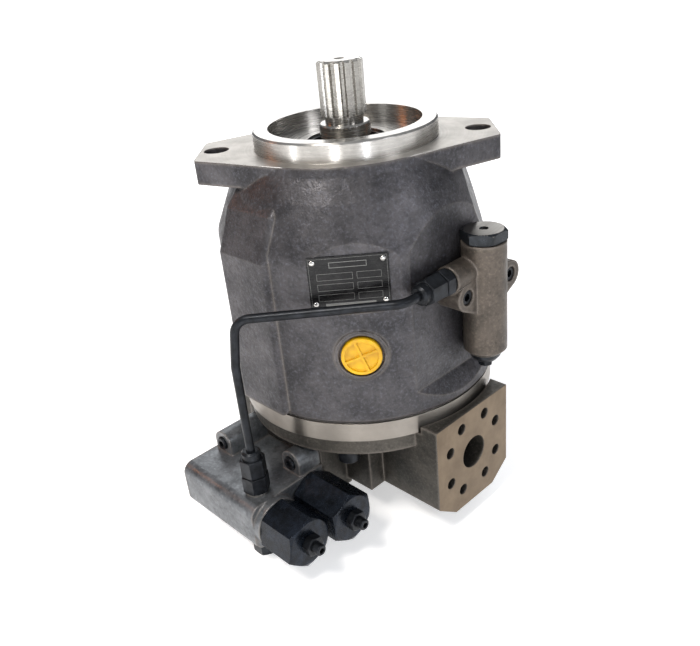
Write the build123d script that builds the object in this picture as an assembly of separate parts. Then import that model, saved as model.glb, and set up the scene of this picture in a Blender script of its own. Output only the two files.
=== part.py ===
from build123d import *
import math
import os

# Swash-plate axial piston pump, variable displacement, 71 cm3 per turn, in millimetres.
# Origin: centre of the mounting flange face, on the shaft axis.  +Z runs along the shaft to its splined end,
# +X points out of the pressure port, -X out of the suction port, and -Y to the pressure and flow control valve.

# ---- clearances -------------------------------------------------------------------------------------------
RUN_GAP = 0.1           # radial gap of pistons, spools, balls and bearings that turn or slide
FACE_GAP = 0.1          # gap between flat faces that slide on each other
SEAT_GAP = 0.02         # radial gap of a fixed piece in its seat
SOCKET_GAP = 0.3        # gap around a bolt in its hole

# ---- mounting flange and pilot ----------------------------------------------------------------------------
PILOT_R = 63.5
PILOT_HEIGHT = 12.7
PILOT_WALL = 10.5
PILOT_FLOOR = 1.5       # height of the floor inside the pilot ring
FLANGE_THICK = 16.0
FLANGE_HOLE_PITCH = 181.0
FLANGE_HOLE_R = 8.75
FLANGE_TIP_REACH = 102.0
FLANGE_TIP_HALF = 25.0
FLANGE_TIP_ROUND = 4.0
FLANGE_ROUND_R = 72.6
FLANGE_ANGLE = 45.0     # direction of the two flange holes from +X

# ---- housing ----------------------------------------------------------------------------------------------
BODY_R = 97.0
RING_R = BODY_R - 1.0   # machined band where the housing meets the port plate
RING_HEIGHT = 14.0
JOINT_Z = -185.0
SHOULDER_R = 83.0
SHOULDER_Z = -20.0
BODY_TOP_Z = -52.0      # where the cast body reaches its full radius
CAVITY_R = 74.0
CAVITY_TOP_Z = -35.0
CRADLE_CAVITY_R = 70.0  # narrower cavity around the cradle
CRADLE_CAVITY_Z = -72.0
CAST_ROUND = 6.0
WALL_ROUND = 14.0
PAD_LEFT, PAD_RIGHT = -31.0, 19.5   # flat side over the stroking piston
PAD_REACH = BODY_R + 2.0
PAD_NECK, PAD_SHOULDER = 76.5, 87.5    # reach of the flat side under the flange and at PAD_SHOULDER_Z
PAD_SHOULDER_Z = -28.0
PAD_TOP_Z = -56.0
VALVE_FLAT_DEPTH = 8.5  # how far the flat for the power control valve is cut into the body
VALVE_FLAT_X = BODY_R - VALVE_FLAT_DEPTH
VALVE_FLAT_LOW_Z = -152.0
PLATE_ANGLE = -45.0     # direction that the nameplate and the drain plug face

# ---- drive shaft ------------------------------------------------------------------------------------------
SHAFT_TIP_Z = 53.2
SPLINE_R = 15.6
SPLINE_ROOT_R = 13.6
SPLINE_TEETH = 14
SPLINE_LENGTH = 36.0
NECK_R = 13.2
NECK_LENGTH = 5.0
SEAL_SEAT_R = 17.5
COLLAR_TOP_Z = SHAFT_TIP_Z - SPLINE_LENGTH - NECK_LENGTH
BLOCK_SPLINE_R = 17.0
SHAFT_CORE_R = 15.5
REAR_JOURNAL_R = 13.0

# ---- shaft seal and front bearing -------------------------------------------------------------------------
SEAL_R = 27.0
SEAL_THICK = 9.0
SEAL_RING_THICK = 1.8
SEAL_RING_WIDTH = 4.5
FRONT_BEARING_R = 36.0
FRONT_BEARING_HEIGHT = 20.0
FRONT_BEARING_ROLLERS = 17
FRONT_BEARING_TOP_Z = -14.0

# ---- rotating group ---------------------------------------------------------------------------------------
PISTON_COUNT = 9
PITCH_R = 40.0
PISTON_R = 10.0
PISTON_LENGTH = 61.0    # from the ball centre to the end face
SWASH_ANGLE = 17.5
TILT_Z = -96.0          # height of the swash plate's tilting axis
BALL_R = 8.0
SOCKET_WALL = 2.3
SOCKET_LIP = 2.5        # how far the slipper's socket reaches past the ball centre
SLIPPER_PAD_R = 13.0
SLIPPER_PAD_THICK = 3.6
SLIPPER_HEIGHT = 13.0   # from the ball centre to the sliding face
RETAINER_THICK = 4.0
RETAINER_RIM = 4.0
GUIDE_BALL_R = 24.0
GUIDE_BALL_TOP = 15.0   # above the tilting axis
GUIDE_BALL_FOOT = 12.0
BLOCK_R = 55.0
BLOCK_TOP_Z = -122.0
BLOCK_FOOT_Z = JOINT_Z + 9.0
KIDNEY_HALF_WIDTH = 4.5
BLOCK_SPRING_R = 19.2
BLOCK_SPRING_SEAT = -150.0
BLOCK_SPRING_WIRE_R = 1.6
BLOCK_SPRING_TURNS = 5
FIRST_PISTON = 10.0     # direction of the first piston, degrees

# ---- swash plate and cradle -------------------------------------------------------------------------------
ROCKER_R = 58.0
ROCKER_SHELL = 2.0
ROCKER_HALF = 58.0
CRADLE_IN_X = 34.0
CRADLE_OUT_X = 56.0
CRADLE_HALF_Y = 46.0
SWASH_SLOT_R = 20.8

# ---- stroking piston and bias piston ----------------------------------------------------------------------
STROKE_PISTON_R = 9.0
STROKE_X = 0.0
STROKE_Y = -72.0
STROKE_POCKET_R = 13.0
STROKE_SLEEVE_R = 12.0
STROKE_SLEEVE_TOP_Z = JOINT_Z + 35.0
STROKE_SLEEVE_FOOT = JOINT_Z - 10.0
ARM_REACH_LOW = 74.0    # along the swash plate, over the stroking piston
ARM_REACH_HIGH = 79.0   # the same over the bias piston
ARM_HALF_WIDTH = 8.0
ARM_THICK = 12.0
BIAS_Y = 69.0
BIAS_COLLAR_Z = -92.0
BIAS_SPRING_R = 9.6
BIAS_SPRING_WIRE_R = 1.5
BIAS_SPRING_TURNS = 9

# ---- valve plate, port plate and ports --------------------------------------------------------------------
VALVE_PLATE_THICK = 4.0
VALVE_PLATE_R = 55.0
KIDNEY_HALF_ANGLE = 62.0
PORT_FLANGE_R = 93.5
PORT_FLANGE_THICK = 12.0
PORT_Z = JOINT_Z - 31.5
PORT_FACE_X = 104.0
PORT_PAD_HALF = 40.0
PORT_FOOT_Z = JOINT_Z - 73.5
PORT_PAD_CHAMFER_Y = 18.0
PORT_PAD_CHAMFER_Z = 13.0
CORE_HALF_X = 50.0
CORE_HALF_Y = 54.0
PRESSURE_BORE_R = 12.5
PRESSURE_BOLT_LONG = 52.4
PRESSURE_BOLT_SHORT = 26.2
PRESSURE_BOLT_R = 4.25
PRESSURE_BOLT_DEPTH = 17.0
SUCTION_PAD_HALF = 52.0
SUCTION_BORE_R = 25.0
SUCTION_BOLT_LONG = 77.8
SUCTION_BOLT_SHORT = 42.9
SUCTION_BOLT_R = 5.1
SUCTION_BOLT_DEPTH = 20.0
REAR_BEARING_R = 25.0
REAR_BEARING_HEIGHT = 17.0
REAR_BEARING_ROLLERS = 15
JOINT_BOLT_PCR = 84.0
JOINT_BOLT_ANGLES = (56.0, 132.7, 227.3, 304.0)
JOINT_BOLT_R = 5.0
JOINT_BOLT_HEAD_R = 8.0
JOINT_BOLT_HEAD = 10.0
JOINT_BOLT_DEPTH = 18.0
JOINT_BOLT_NOTCH_R = 8.8
GASKET_R = 93.0
GASKET_THICK = 0.5
SEAT_BLOCK_LEFT, SEAT_BLOCK_RIGHT = -56.0, 24.0
SEAT_BLOCK_FOOT_Z = JOINT_Z - 67.0
DRAIN_PLUG_R = 13.4
DRAIN_PLUG_Z = -117.5
DRAIN_SEAT = BODY_R - 2.5     # distance of the plug's seat from the shaft axis
DRAIN_BOSS_R = 18.0
DRAIN_THREAD_R = 10.5

# ---- nameplate --------------------------------------------------------------------------------------------
NAMEPLATE_WIDTH = 51.0
NAMEPLATE_HEIGHT = 35.0
NAMEPLATE_THICK = 0.8
NAMEPLATE_Z = -66.5
NAMEPLATE_SHIFT = -3.5
NAMEPLATE_SEAT = BODY_R - 4.4   # distance of the seat from the shaft axis
NAMEPLATE_ROOM_TOP, NAMEPLATE_ROOM_LOW = 32.0, 19.5     # reach of the sunken flat above and below the plate
RIVET_R = 1.9
RIVET_PIN_R = 1.0
RIVET_INSET = 3.6

# ---- pressure and flow control valve ----------------------------------------------------------------------
SPOOL_Z = JOINT_Z - 52.0
PRESSURE_SPOOL_Y = -127.0
FLOW_SPOOL_Y = -91.0
LOBE_R = 18.0
VALVE_EDGE_R = 8.0      # round of the long edges away from the port plate
LOBE_END_X = -58.0
PRESSURE_LOBE_X = 31.0
FLOW_LOBE_X = 25.0
VALVE_SEAT_Y = -78.0
SPOOL_R = 6.0
SPOOL_BORE_START_X = -46.0
SPOOL_TRAVEL = 2.5
SPRING_BORE_R = 10.0
SPRING_BORE_DEPTH = 14.0
CAP_AF = 34.0
PRESSURE_CAP_LENGTH = 32.0
FLOW_CAP_LENGTH = 43.0
CAP_THREAD_R = 12.0
CAP_THREAD_LENGTH = 9.0
CAP_BORE_R = 9.5
CAP_END_WALL = 9.0
PRESSURE_CAP_TURN, FLOW_CAP_TURN = -10.0, 0.0
ADJUSTER_R = 3.95
ADJUSTER_OUT = 12.0     # how far the adjusting screw stands out of its cap
ADJUSTER_TRAVEL = 1.5
SPRING_SEAT_DEPTH = 17.0    # from the cap's outer end to the outer face of its spring seat
SPRING_SEAT_THICK = 3.0
LOCK_NUT_AF = 13.0
LOCK_NUT_HEIGHT = 6.0
CONTROL_SPRING_R = 7.0
CONTROL_SPRING_WIRE_R = 1.1
CONTROL_SPRING_TURNS = 6
EAR_R = 9.5
EAR_Z = JOINT_Z - 26.0
EARS = ((-46.0, -114.0), (14.0, -98.0))     # place along X and face of each screw's ear
VALVE_BOLT_R = 3.0
VALVE_BOLT_HEAD_R = 5.0
VALVE_BOLT_HEAD = 6.0
VALVE_BOLT_GRIP = 7.0
VALVE_BOLT_SINK = 4.0
END_PLUG_R = 9.0
FOOT_BOSS_R = 11.0
FOOT_BOSS_Z = SPOOL_Z - 25.0
FOOT_PLUG_HEIGHT = 9.0
FOOT_THREAD_R = 6.0
FOOT_PLUG_X = 10.0

# ---- power control valve ----------------------------------------------------------------------------------
POWER_X, POWER_Y = VALVE_FLAT_X + 14.0, 17.3
POWER_R = 15.0
POWER_TOP_Z = -59.0
POWER_FOOT_Z = -140.0
POWER_BOLT_Z = -90.5
POWER_EAR_X = VALVE_FLAT_X + 18.5
POWER_EAR_HALF = 33.0
POWER_EAR_TOP_Z, POWER_EAR_LOW_Z = -80.0, -106.0
POWER_BOLT_HALF = 23.3
POWER_BOLT_R = 3.0
POWER_BOLT_HEAD_R = 5.0
POWER_BOLT_HEAD = 6.0
POWER_BOLT_SINK = 7.0
POWER_BOLT_DEPTH = 12.0
POWER_BOSS_R = 9.5
POWER_THREAD_R = 9.0
POWER_THREAD = 10.0
POWER_FLOOR = 6.0
POWER_SCREW_R = 3.0
POWER_CAP = 6.0
POWER_NUB = 5.0
POWER_NUB_R = 4.5
POWER_SPOOL_FOOT = -125.0
POWER_SPOOL_TOP = -92.0
POWER_BORE_R = 7.0
POWER_SPOOL_TRAVEL = 3.0
POWER_PLUG_AF = 27.0
POWER_PLUG_HEIGHT = 8.0
POWER_FITTING_X, POWER_FITTING_Z = VALVE_FLAT_X + 9.5, -77.0

# ---- pilot tube -------------------------------------------------------------------------------------------
TUBE_R = 3.0
TUBE_WALL = 1.0
TUBE_BEND = 12.0
TUBE_LEAN = 34.0        # below the corner the tube leans this far down before it is upright
TUBE_TURN_Y = 40.0 - BODY_R
TUBE_CORNER = (14.0, -27.0 - BODY_R, -84.5)
TUBE_END = (10.5, PRESSURE_SPOOL_Y)
TUBE_FOOT_Z = SPOOL_Z + 25.0
FITTING_AF = 17.0
POWER_FITTING_HEX = 7.0
CONTROL_FITTING_HEX = 13.0
TUBE_NUT_AF = 16.0
TUBE_NUT_LENGTH = 20.0
FITTING_COLLAR_R = 8.5
FITTING_THREAD_R = 4.9
FITTING_THREAD = 8.0
FITTING_NECK_R = 5.5
FITTING_NECK = 8.0      # how far the neck reaches past the hexagon


def cyl_z(radius, z0, z1, x=0.0, y=0.0):
    return Pos(x, y, (z0 + z1) / 2) * Cylinder(radius, abs(z1 - z0))


def cyl_x(radius, x0, x1, y=0.0, z=0.0):
    return Pos((x0 + x1) / 2, y, z) * Rot(0, 90, 0) * Cylinder(radius, abs(x1 - x0))


def cyl_y(radius, y0, y1, x=0.0, z=0.0):
    return Pos(x, (y0 + y1) / 2, z) * Rot(90, 0, 0) * Cylinder(radius, abs(y1 - y0))


def block(x0, x1, y0, y1, z0, z1):
    size = (abs(x1 - x0), abs(y1 - y0), abs(z1 - z0))
    return Pos((x0 + x1) / 2, (y0 + y1) / 2, (z0 + z1) / 2) * Box(*size)


def ring_z(outer, inner, z0, z1, x=0.0, y=0.0):
    return cyl_z(outer, z0, z1, x, y) - cyl_z(inner, min(z0, z1) - 1, max(z0, z1) + 1, x, y)


def turned(points):
    """Solid of revolution about Z from an outline of (radius, height) points."""
    outline = Polyline(*[(r, 0, z) for r, z in points], close=True)
    return revolve(make_face(outline), Axis.Z)


def hex_z(across_flats, z0, z1, x=0.0, y=0.0, turn=0.0):
    """Hexagon prism with the corners of both ends turned off."""
    bottom, top = min(z0, z1), max(z0, z1)
    shape = Pos(x, y, bottom) * Rot(0, 0, turn) * extrude(RegularPolygon(across_flats / 2, 6, False), top - bottom)
    corner = across_flats / 2 / math.cos(math.pi / 6) + 0.1
    slope = corner - across_flats * 0.485
    drop = slope * 0.5
    points = [(0, bottom), (corner - slope, bottom), (corner, bottom + drop), (corner, top - drop)]
    points += [(corner - slope, top), (0, top)]
    return shape & (Pos(x, y, 0) * turned(points))


def along(shape, direction):
    """Turn a solid built along +Z about the origin so that it points along a row axis."""
    turns = {"+x": Rot(0, 90, 0), "-x": Rot(0, -90, 0), "-y": Rot(90, 0, 0), "+y": Rot(-90, 0, 0), "-z": Rot(180, 0, 0)}
    return turns[direction] * shape


def kidney(radius, half_width, middle, half_angle, z0, z1):
    """Curved slot about the shaft axis, with round ends."""
    arc = CenterArc((0, 0), radius, middle - half_angle, 2 * half_angle)
    return Pos(0, 0, min(z0, z1)) * extrude(SlotArc(arc, 2 * half_width), abs(z1 - z0))


def coil(radius, wire_r, turns, z0, z1):
    """Helical spring whose wire stays between two heights."""
    height = z1 - z0 - 2 * wire_r
    path = Helix(height / turns, height, radius)
    wire = Plane(origin=path @ 0, z_dir=path % 0) * Circle(wire_r)
    return Pos(0, 0, z0 + wire_r) * sweep(wire, path=path, is_frenet=True)


def polar(radius, degrees):
    return radius * math.cos(math.radians(degrees)), radius * math.sin(math.radians(degrees))


def save(name, shape):
    """Write one sub-part; a list of pieces that belong together becomes one group."""
    solids = [s for piece in (shape if isinstance(shape, list) else [shape]) for s in piece.solids()]
    export_step(solids[0] if len(solids) == 1 else Compound(children=solids), f"parts/{name}.step")


# ---- places that follow from the driving sizes ------------------------------------------------------------
TILT = math.radians(SWASH_ANGLE)
SWASH = Pos(0, 0, TILT_Z) * Rot(SWASH_ANGLE, 0, 0)
FACING = Rot(0, 0, PLATE_ANGLE) * Rot(0, 90, 0)
SWASH_FACE = SLIPPER_HEIGHT + FACE_GAP
ORBIT_R = PITCH_R * (1 + 1 / math.cos(TILT)) / 2
ORBIT_OFFSET = PITCH_R * (1 / math.cos(TILT) - 1) / 2
SOCKET_R = BALL_R + SOCKET_WALL
RETAINER_HOLE_R = SOCKET_R + ORBIT_OFFSET + 0.25
VALVE_PLATE_TOP = BLOCK_FOOT_Z - FACE_GAP
VALVE_PLATE_FOOT = VALVE_PLATE_TOP - VALVE_PLATE_THICK
PORT_TOP_Z = JOINT_Z - GASKET_THICK
FLANGE_UNDER = PORT_TOP_Z - PORT_FLANGE_THICK
SEAL_TOP_Z = -SEAL_RING_THICK
SEAL_FOOT_Z = SEAL_TOP_Z - SEAL_THICK
FRONT_BEARING_FOOT_Z = FRONT_BEARING_TOP_Z - FRONT_BEARING_HEIGHT
REAR_BEARING_TOP = VALVE_PLATE_FOOT - 2.0
REAR_BEARING_FOOT = REAR_BEARING_TOP - REAR_BEARING_HEIGHT


def on_swash(y, z):
    """World height and distance of a point given along and off the swash plate's own plane."""
    return y * math.cos(TILT) - z * math.sin(TILT), TILT_Z + y * math.sin(TILT) + z * math.cos(TILT)


def ball_end_height(y, radius):
    """Height of a ball end at y whose surface just clears the swash plate's face."""
    off = SWASH_FACE - FACE_GAP - radius
    along_face = (y + off * math.sin(TILT)) / math.cos(TILT)
    return on_swash(along_face, off)[1]


# ---- housing ----------------------------------------------------------------------------------------------
def flange_plate():
    outline = make_hull(Circle(FLANGE_ROUND_R).edges() + Rectangle(2 * FLANGE_TIP_REACH, 2 * FLANGE_TIP_HALF).edges())
    plate = Pos(0, 0, -FLANGE_THICK) * extrude(outline, FLANGE_THICK)
    tips = [e for e in plate.edges().filter_by(Axis.Z) if abs(e.center().X) > FLANGE_TIP_REACH - 1]
    plate = fillet(tips, FLANGE_TIP_ROUND)
    for side in (-1, 1):
        plate -= cyl_z(FLANGE_HOLE_R, -FLANGE_THICK - 1, 1, side * FLANGE_HOLE_PITCH / 2)
    return Rot(0, 0, FLANGE_ANGLE) * plate


def side_pad(direction):
    """Flat cast side over a control piston, sloping in above PAD_TOP_Z."""
    foot = JOINT_Z + RING_HEIGHT + 2
    points = [(CAVITY_R - 19, -FLANGE_THICK), (PAD_NECK, -FLANGE_THICK), (PAD_SHOULDER, PAD_SHOULDER_Z)]
    points += [(PAD_REACH, PAD_TOP_Z), (PAD_REACH, foot), (CAVITY_R - 19, foot)]
    outline = Polyline(*[(0, direction * y, z) for y, z in points], close=True)
    pad = extrude(make_face(outline), PAD_RIGHT - PAD_LEFT, dir=(1, 0, 0))
    pad = Pos(PAD_LEFT, 0, 0) * pad
    upright = [e for e in pad.edges() if abs(e.center().Y) > PAD_NECK and abs((e % 0.5).X) < 0.1]
    return fillet(upright, CAST_ROUND - 1)


def housing_body():
    """Turned body; its outline is rounded where the cast wall changes slope."""
    top = Polyline((0, 0, 0), (FLANGE_ROUND_R, 0, 0), (FLANGE_ROUND_R + 2, 0, -6))
    wall = FilletPolyline((FLANGE_ROUND_R + 2, 0, -6), (SHOULDER_R, 0, SHOULDER_Z), (BODY_R, 0, BODY_TOP_Z),
                          (BODY_R, 0, JOINT_Z + RING_HEIGHT + 3), radius=WALL_ROUND)
    foot = Polyline((BODY_R, 0, JOINT_Z + RING_HEIGHT + 3), (RING_R - 1.5, 0, JOINT_Z + RING_HEIGHT),
                    (RING_R, 0, JOINT_Z + RING_HEIGHT), (RING_R, 0, JOINT_Z), (0, 0, JOINT_Z), (0, 0, 0))
    return revolve(make_face(top.edges() + wall.edges() + foot.edges()), Axis.Z)


def valve_flat_cut():
    """What is taken off the +X side for the power control valve's seat."""
    far = BODY_R + 30
    points = [(VALVE_FLAT_X, 1), (VALVE_FLAT_X, VALVE_FLAT_LOW_Z), (BODY_R + 1, VALVE_FLAT_LOW_Z - 14)]
    points += [(far, VALVE_FLAT_LOW_Z - 14), (far, 1)]
    outline = Polyline(*[(x, 0, z) for x, z in points], close=True)
    return Pos(0, BODY_R, 0) * extrude(make_face(outline), 2 * BODY_R, dir=(0, -1, 0))


def make_housing():
    body = housing_body() - valve_flat_cut()
    body += side_pad(-1)
    body += side_pad(1)
    slim = Rot(0, 0, 40) * Pos(SHOULDER_R + 20, 0, -34) * Rot(0, -16, 0) * Box(40, 150, 75)
    body -= slim & block(0, 150, 22, 150, -90, 0)
    body += flange_plate()
    body += cyl_z(PILOT_R, 0, PILOT_HEIGHT)
    lip = body.edges().filter_by(GeomType.CIRCLE).group_by(Axis.Z)[-1]
    body = chamfer(lip, 1.2)
    body -= cyl_z(PILOT_R - PILOT_WALL, PILOT_FLOOR, PILOT_HEIGHT + 1)
    body -= cyl_z(SEAL_R, SEAL_FOOT_Z, PILOT_FLOOR + 1)
    body -= cyl_z(SEAL_R + 1.6, SEAL_TOP_Z, 0)
    body -= cyl_z(SEAL_R - 5, CAVITY_TOP_Z - 1, 0)
    body -= cyl_z(FRONT_BEARING_R, CAVITY_TOP_Z - 1, FRONT_BEARING_TOP_Z)
    cavity = cyl_z(CAVITY_R, JOINT_Z - 1, CRADLE_CAVITY_Z) + cyl_z(CRADLE_CAVITY_R, CRADLE_CAVITY_Z - 1, CAVITY_TOP_Z)
    cavity += cyl_z(STROKE_POCKET_R, JOINT_Z - 1, TILT_Z + 12, STROKE_X, STROKE_Y)
    cavity += cyl_z(STROKE_POCKET_R, JOINT_Z - 1, CAVITY_TOP_Z - 8, STROKE_X, BIAS_Y)
    saddle_r = ROCKER_R + RUN_GAP + ROCKER_SHELL + SEAT_GAP
    for side in (-1, 1):
        saddle = block(side * (CRADLE_IN_X - 1), side * (CRADLE_OUT_X + 1), -CRADLE_HALF_Y, CRADLE_HALF_Y,
                       CAVITY_TOP_Z + 1, TILT_Z + 38)
        cavity -= saddle - cyl_x(saddle_r, -100, 100, 0, TILT_Z)
    body -= cavity
    for angle in JOINT_BOLT_ANGLES:
        body -= cyl_z(JOINT_BOLT_R, JOINT_Z - 1, JOINT_Z + JOINT_BOLT_DEPTH + 2, *polar(JOINT_BOLT_PCR, angle))
    for half_turn in (0, 180):
        drain = Rot(0, 0, half_turn) * FACING
        body += drain * cyl_z(DRAIN_BOSS_R, CAVITY_R + 6, BODY_R + 0.6, -DRAIN_PLUG_Z)
        body -= drain * cyl_z(DRAIN_PLUG_R + 1.6, DRAIN_SEAT, BODY_R + 10, -DRAIN_PLUG_Z)
        body -= drain * cyl_z(DRAIN_THREAD_R, CAVITY_R - 8, BODY_R, -DRAIN_PLUG_Z)
    plate_room = block(-NAMEPLATE_Z - NAMEPLATE_ROOM_TOP, -NAMEPLATE_Z + NAMEPLATE_ROOM_LOW, -32, 32, NAMEPLATE_SEAT,
                       BODY_R + 20)
    body -= FACING * plate_room
    for corner in rivet_places():
        body -= FACING * cyl_z(RIVET_PIN_R + SEAT_GAP, NAMEPLATE_SEAT - 5, NAMEPLATE_SEAT + 1, *corner)
    for side in (-1, 1):
        body -= cyl_x(POWER_BOLT_R + SEAT_GAP, VALVE_FLAT_X - POWER_BOLT_DEPTH, VALVE_FLAT_X + 1,
                      POWER_Y + side * POWER_BOLT_HALF, POWER_BOLT_Z)
    return body


def rivet_places():
    """Rivets in the frame of FACING, whose +X is down and +Y sideways."""
    down = NAMEPLATE_HEIGHT / 2 - RIVET_INSET
    wide = NAMEPLATE_WIDTH / 2 - RIVET_INSET
    return [(-NAMEPLATE_Z + i * down, NAMEPLATE_SHIFT + j * wide) for i in (-1, 1) for j in (-1, 1)]


def make_nameplate():
    middle = (-NAMEPLATE_Z, NAMEPLATE_SHIFT)
    plate = Pos(*middle, NAMEPLATE_SEAT + SEAT_GAP) * extrude(
        RectangleRounded(NAMEPLATE_HEIGHT, NAMEPLATE_WIDTH, 1.0), NAMEPLATE_THICK)
    for corner in rivet_places():
        plate -= cyl_z(RIVET_PIN_R + SEAT_GAP, NAMEPLATE_SEAT - 1, NAMEPLATE_SEAT + 5, *corner)
    return FACING * plate


def make_rivets():
    top = NAMEPLATE_SEAT + SEAT_GAP + NAMEPLATE_THICK
    rivet = cyl_z(RIVET_PIN_R, NAMEPLATE_SEAT - 4, top)
    dome = Pos(0, 0, top - 1.4) * Sphere(2.3) & cyl_z(3, top, top + 2)
    return [FACING * Pos(*corner, 0) * (rivet + dome) for corner in rivet_places()]


def make_drain_plug(half_turn):
    """Moulded shipping plug with a cross under its rim."""
    head_top = DRAIN_SEAT + 4.5
    plug = cyl_z(DRAIN_PLUG_R, DRAIN_SEAT, head_top)
    plug = fillet(plug.edges().group_by(Axis.Z)[-1], 1.0)
    plug -= cyl_z(DRAIN_PLUG_R - 2.4, head_top - 1.6, head_top + 1)
    rib = Box(2 * DRAIN_PLUG_R - 4.6, 1.8, 1.6)
    for turn in (20, 110):
        plug += Pos(0, 0, head_top - 0.9) * Rot(0, 0, turn) * rib
    plug += cyl_z(DRAIN_THREAD_R - SEAT_GAP, DRAIN_SEAT - 11, DRAIN_SEAT)
    return Rot(0, 0, half_turn) * FACING * Pos(-DRAIN_PLUG_Z, 0, 0) * plug


# ---- shaft, seal and bearings -----------------------------------------------------------------------------
def make_shaft():
    spline_foot = SHAFT_TIP_Z - SPLINE_LENGTH
    guide_top = TILT_Z + GUIDE_BALL_TOP + 2
    points = [(0, SHAFT_TIP_Z), (SPLINE_ROOT_R - 0.6, SHAFT_TIP_Z), (SPLINE_ROOT_R, SHAFT_TIP_Z - 0.6)]
    points += [(SPLINE_ROOT_R, spline_foot), (NECK_R, spline_foot), (NECK_R, COLLAR_TOP_Z)]
    points += [(SEAL_SEAT_R - 1, COLLAR_TOP_Z), (SEAL_SEAT_R, COLLAR_TOP_Z - 1), (SEAL_SEAT_R, FRONT_BEARING_FOOT_Z)]
    points += [(SEAL_SEAT_R + 2.5, FRONT_BEARING_FOOT_Z), (SEAL_SEAT_R + 2.5, FRONT_BEARING_FOOT_Z - 2.5)]
    points += [(SEAL_SEAT_R, FRONT_BEARING_FOOT_Z - 2.5), (SEAL_SEAT_R, guide_top), (BLOCK_SPLINE_R, guide_top)]
    points += [(BLOCK_SPLINE_R, BLOCK_FOOT_Z), (SHAFT_CORE_R, BLOCK_FOOT_Z), (SHAFT_CORE_R, REAR_BEARING_TOP)]
    points += [(REAR_JOURNAL_R, REAR_BEARING_TOP), (REAR_JOURNAL_R, REAR_BEARING_FOOT + 1), (0, REAR_BEARING_FOOT + 1)]
    shaft = turned(points)
    tip_half, root_half = 1.45, 2.15
    tooth = make_face(Polyline((SPLINE_ROOT_R - 1, -root_half), (SPLINE_ROOT_R, -root_half), (SPLINE_R, -tip_half),
                               (SPLINE_R, tip_half), (SPLINE_ROOT_R, root_half), (SPLINE_ROOT_R - 1, root_half),
                               close=True))
    teeth = Pos(0, 0, spline_foot) * extrude(tooth, SPLINE_LENGTH)
    bevel = turned([(0, spline_foot - 1), (SPLINE_R + 1, spline_foot - 1), (SPLINE_R + 1, SHAFT_TIP_Z - 2),
                    (SPLINE_R - 2.0, SHAFT_TIP_Z), (0, SHAFT_TIP_Z)])
    teeth = teeth & bevel
    for i in range(SPLINE_TEETH):
        shaft += Rot(0, 0, 360 * i / SPLINE_TEETH) * teeth
    return shaft - cyl_z(3.4, SHAFT_TIP_Z - 16, SHAFT_TIP_Z + 1)


def make_shaft_seal():
    seal = ring_z(SEAL_R - SEAT_GAP, SEAL_SEAT_R + 6, SEAL_FOOT_Z + 0.1, SEAL_TOP_Z - 0.1)
    lip = turned([(SEAL_SEAT_R + RUN_GAP, SEAL_FOOT_Z + 3), (SEAL_SEAT_R + 7, SEAL_TOP_Z - 2.5),
                  (SEAL_SEAT_R + 7, SEAL_TOP_Z - 0.8), (SEAL_SEAT_R + 1.6, SEAL_TOP_Z - 0.8),
                  (SEAL_SEAT_R + 1.6, SEAL_TOP_Z - 2.2), (SEAL_SEAT_R + RUN_GAP, SEAL_FOOT_Z + 4)])
    return seal + lip


def make_seal_ring():
    """Inside retaining ring with its two eyes."""
    z0, z1 = SEAL_TOP_Z + 0.05, -0.05
    ring = ring_z(SEAL_R + 1.5, SEAL_R - SEAL_RING_WIDTH + 1.5, z0, z1)
    ring -= block(0, SEAL_R + 5, -6, 6, z0 - 1, z1 + 1)
    for side in (-1, 1):
        eye = cyl_z(3.4, z0, z1, *polar(SEAL_R - 4.0, side * 17)) & cyl_z(SEAL_R - 0.1, z0, z1)
        ring += eye
        ring -= cyl_z(1.2, z0 - 1, z1 + 1, *polar(SEAL_R - 4.0, side * 17))
    return Rot(0, 0, -10) * ring


def taper_bearing(z0, z1, bore_r, outer_r, count):
    """Inner race, outer race and the rollers with their cage, between two heights (z0 is the wide end)."""
    lean = math.radians(12.0)
    middle, height = (z0 + z1) / 2, abs(z1 - z0)
    sign = 1 if z0 < z1 else -1
    pitch_r = (bore_r + outer_r) / 2
    roller_r = (outer_r - bore_r) * 0.19
    gap = (roller_r + RUN_GAP) / math.cos(lean)

    def race_r(z, side):
        return pitch_r - sign * (z - middle) * math.tan(lean) + side * gap

    inner = turned([(bore_r + SEAT_GAP, z0), (race_r(z0, -1), z0), (race_r(z1, -1), z1), (bore_r + SEAT_GAP, z1)])
    outer = turned([(race_r(z0, 1), z0), (outer_r - SEAT_GAP, z0), (outer_r - SEAT_GAP, z1), (race_r(z1, 1), z1)])
    length = height * 0.66
    roller = Rot(0, -sign * math.degrees(lean), 0) * Cylinder(roller_r, length)
    rollers = [Rot(0, 0, 360 * i / count) * Pos(pitch_r, 0, middle) * roller for i in range(count)]
    cage_z = z0 + sign * height * 0.04
    cage = ring_z(race_r(z0, 1) - 0.9, race_r(z0, -1) + 0.9, cage_z, cage_z + sign * height * 0.06)
    return inner, outer, rollers + [cage]


# ---- rotating group ---------------------------------------------------------------------------------------
def piston_angle(i):
    return FIRST_PISTON + 360.0 * i / PISTON_COUNT


def make_piston(i):
    x, y = polar(PITCH_R, piston_angle(i))
    ball_z = TILT_Z + y * math.tan(TILT)
    neck_foot = ball_z - BALL_R - 3.5
    shape = cyl_z(PISTON_R, neck_foot, ball_z - PISTON_LENGTH, x, y)
    shape = chamfer(shape.edges().group_by(Axis.Z)[-1], 2.0)
    shape += cyl_z(5.0, neck_foot - 1, ball_z, x, y) + Pos(x, y, ball_z) * Sphere(BALL_R)
    shape -= cyl_z(PISTON_R - 3.5, ball_z - PISTON_LENGTH - 1, ball_z - PISTON_LENGTH + 36, x, y)
    return shape


def orbit_place(i):
    return polar(ORBIT_R, piston_angle(i))


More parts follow.
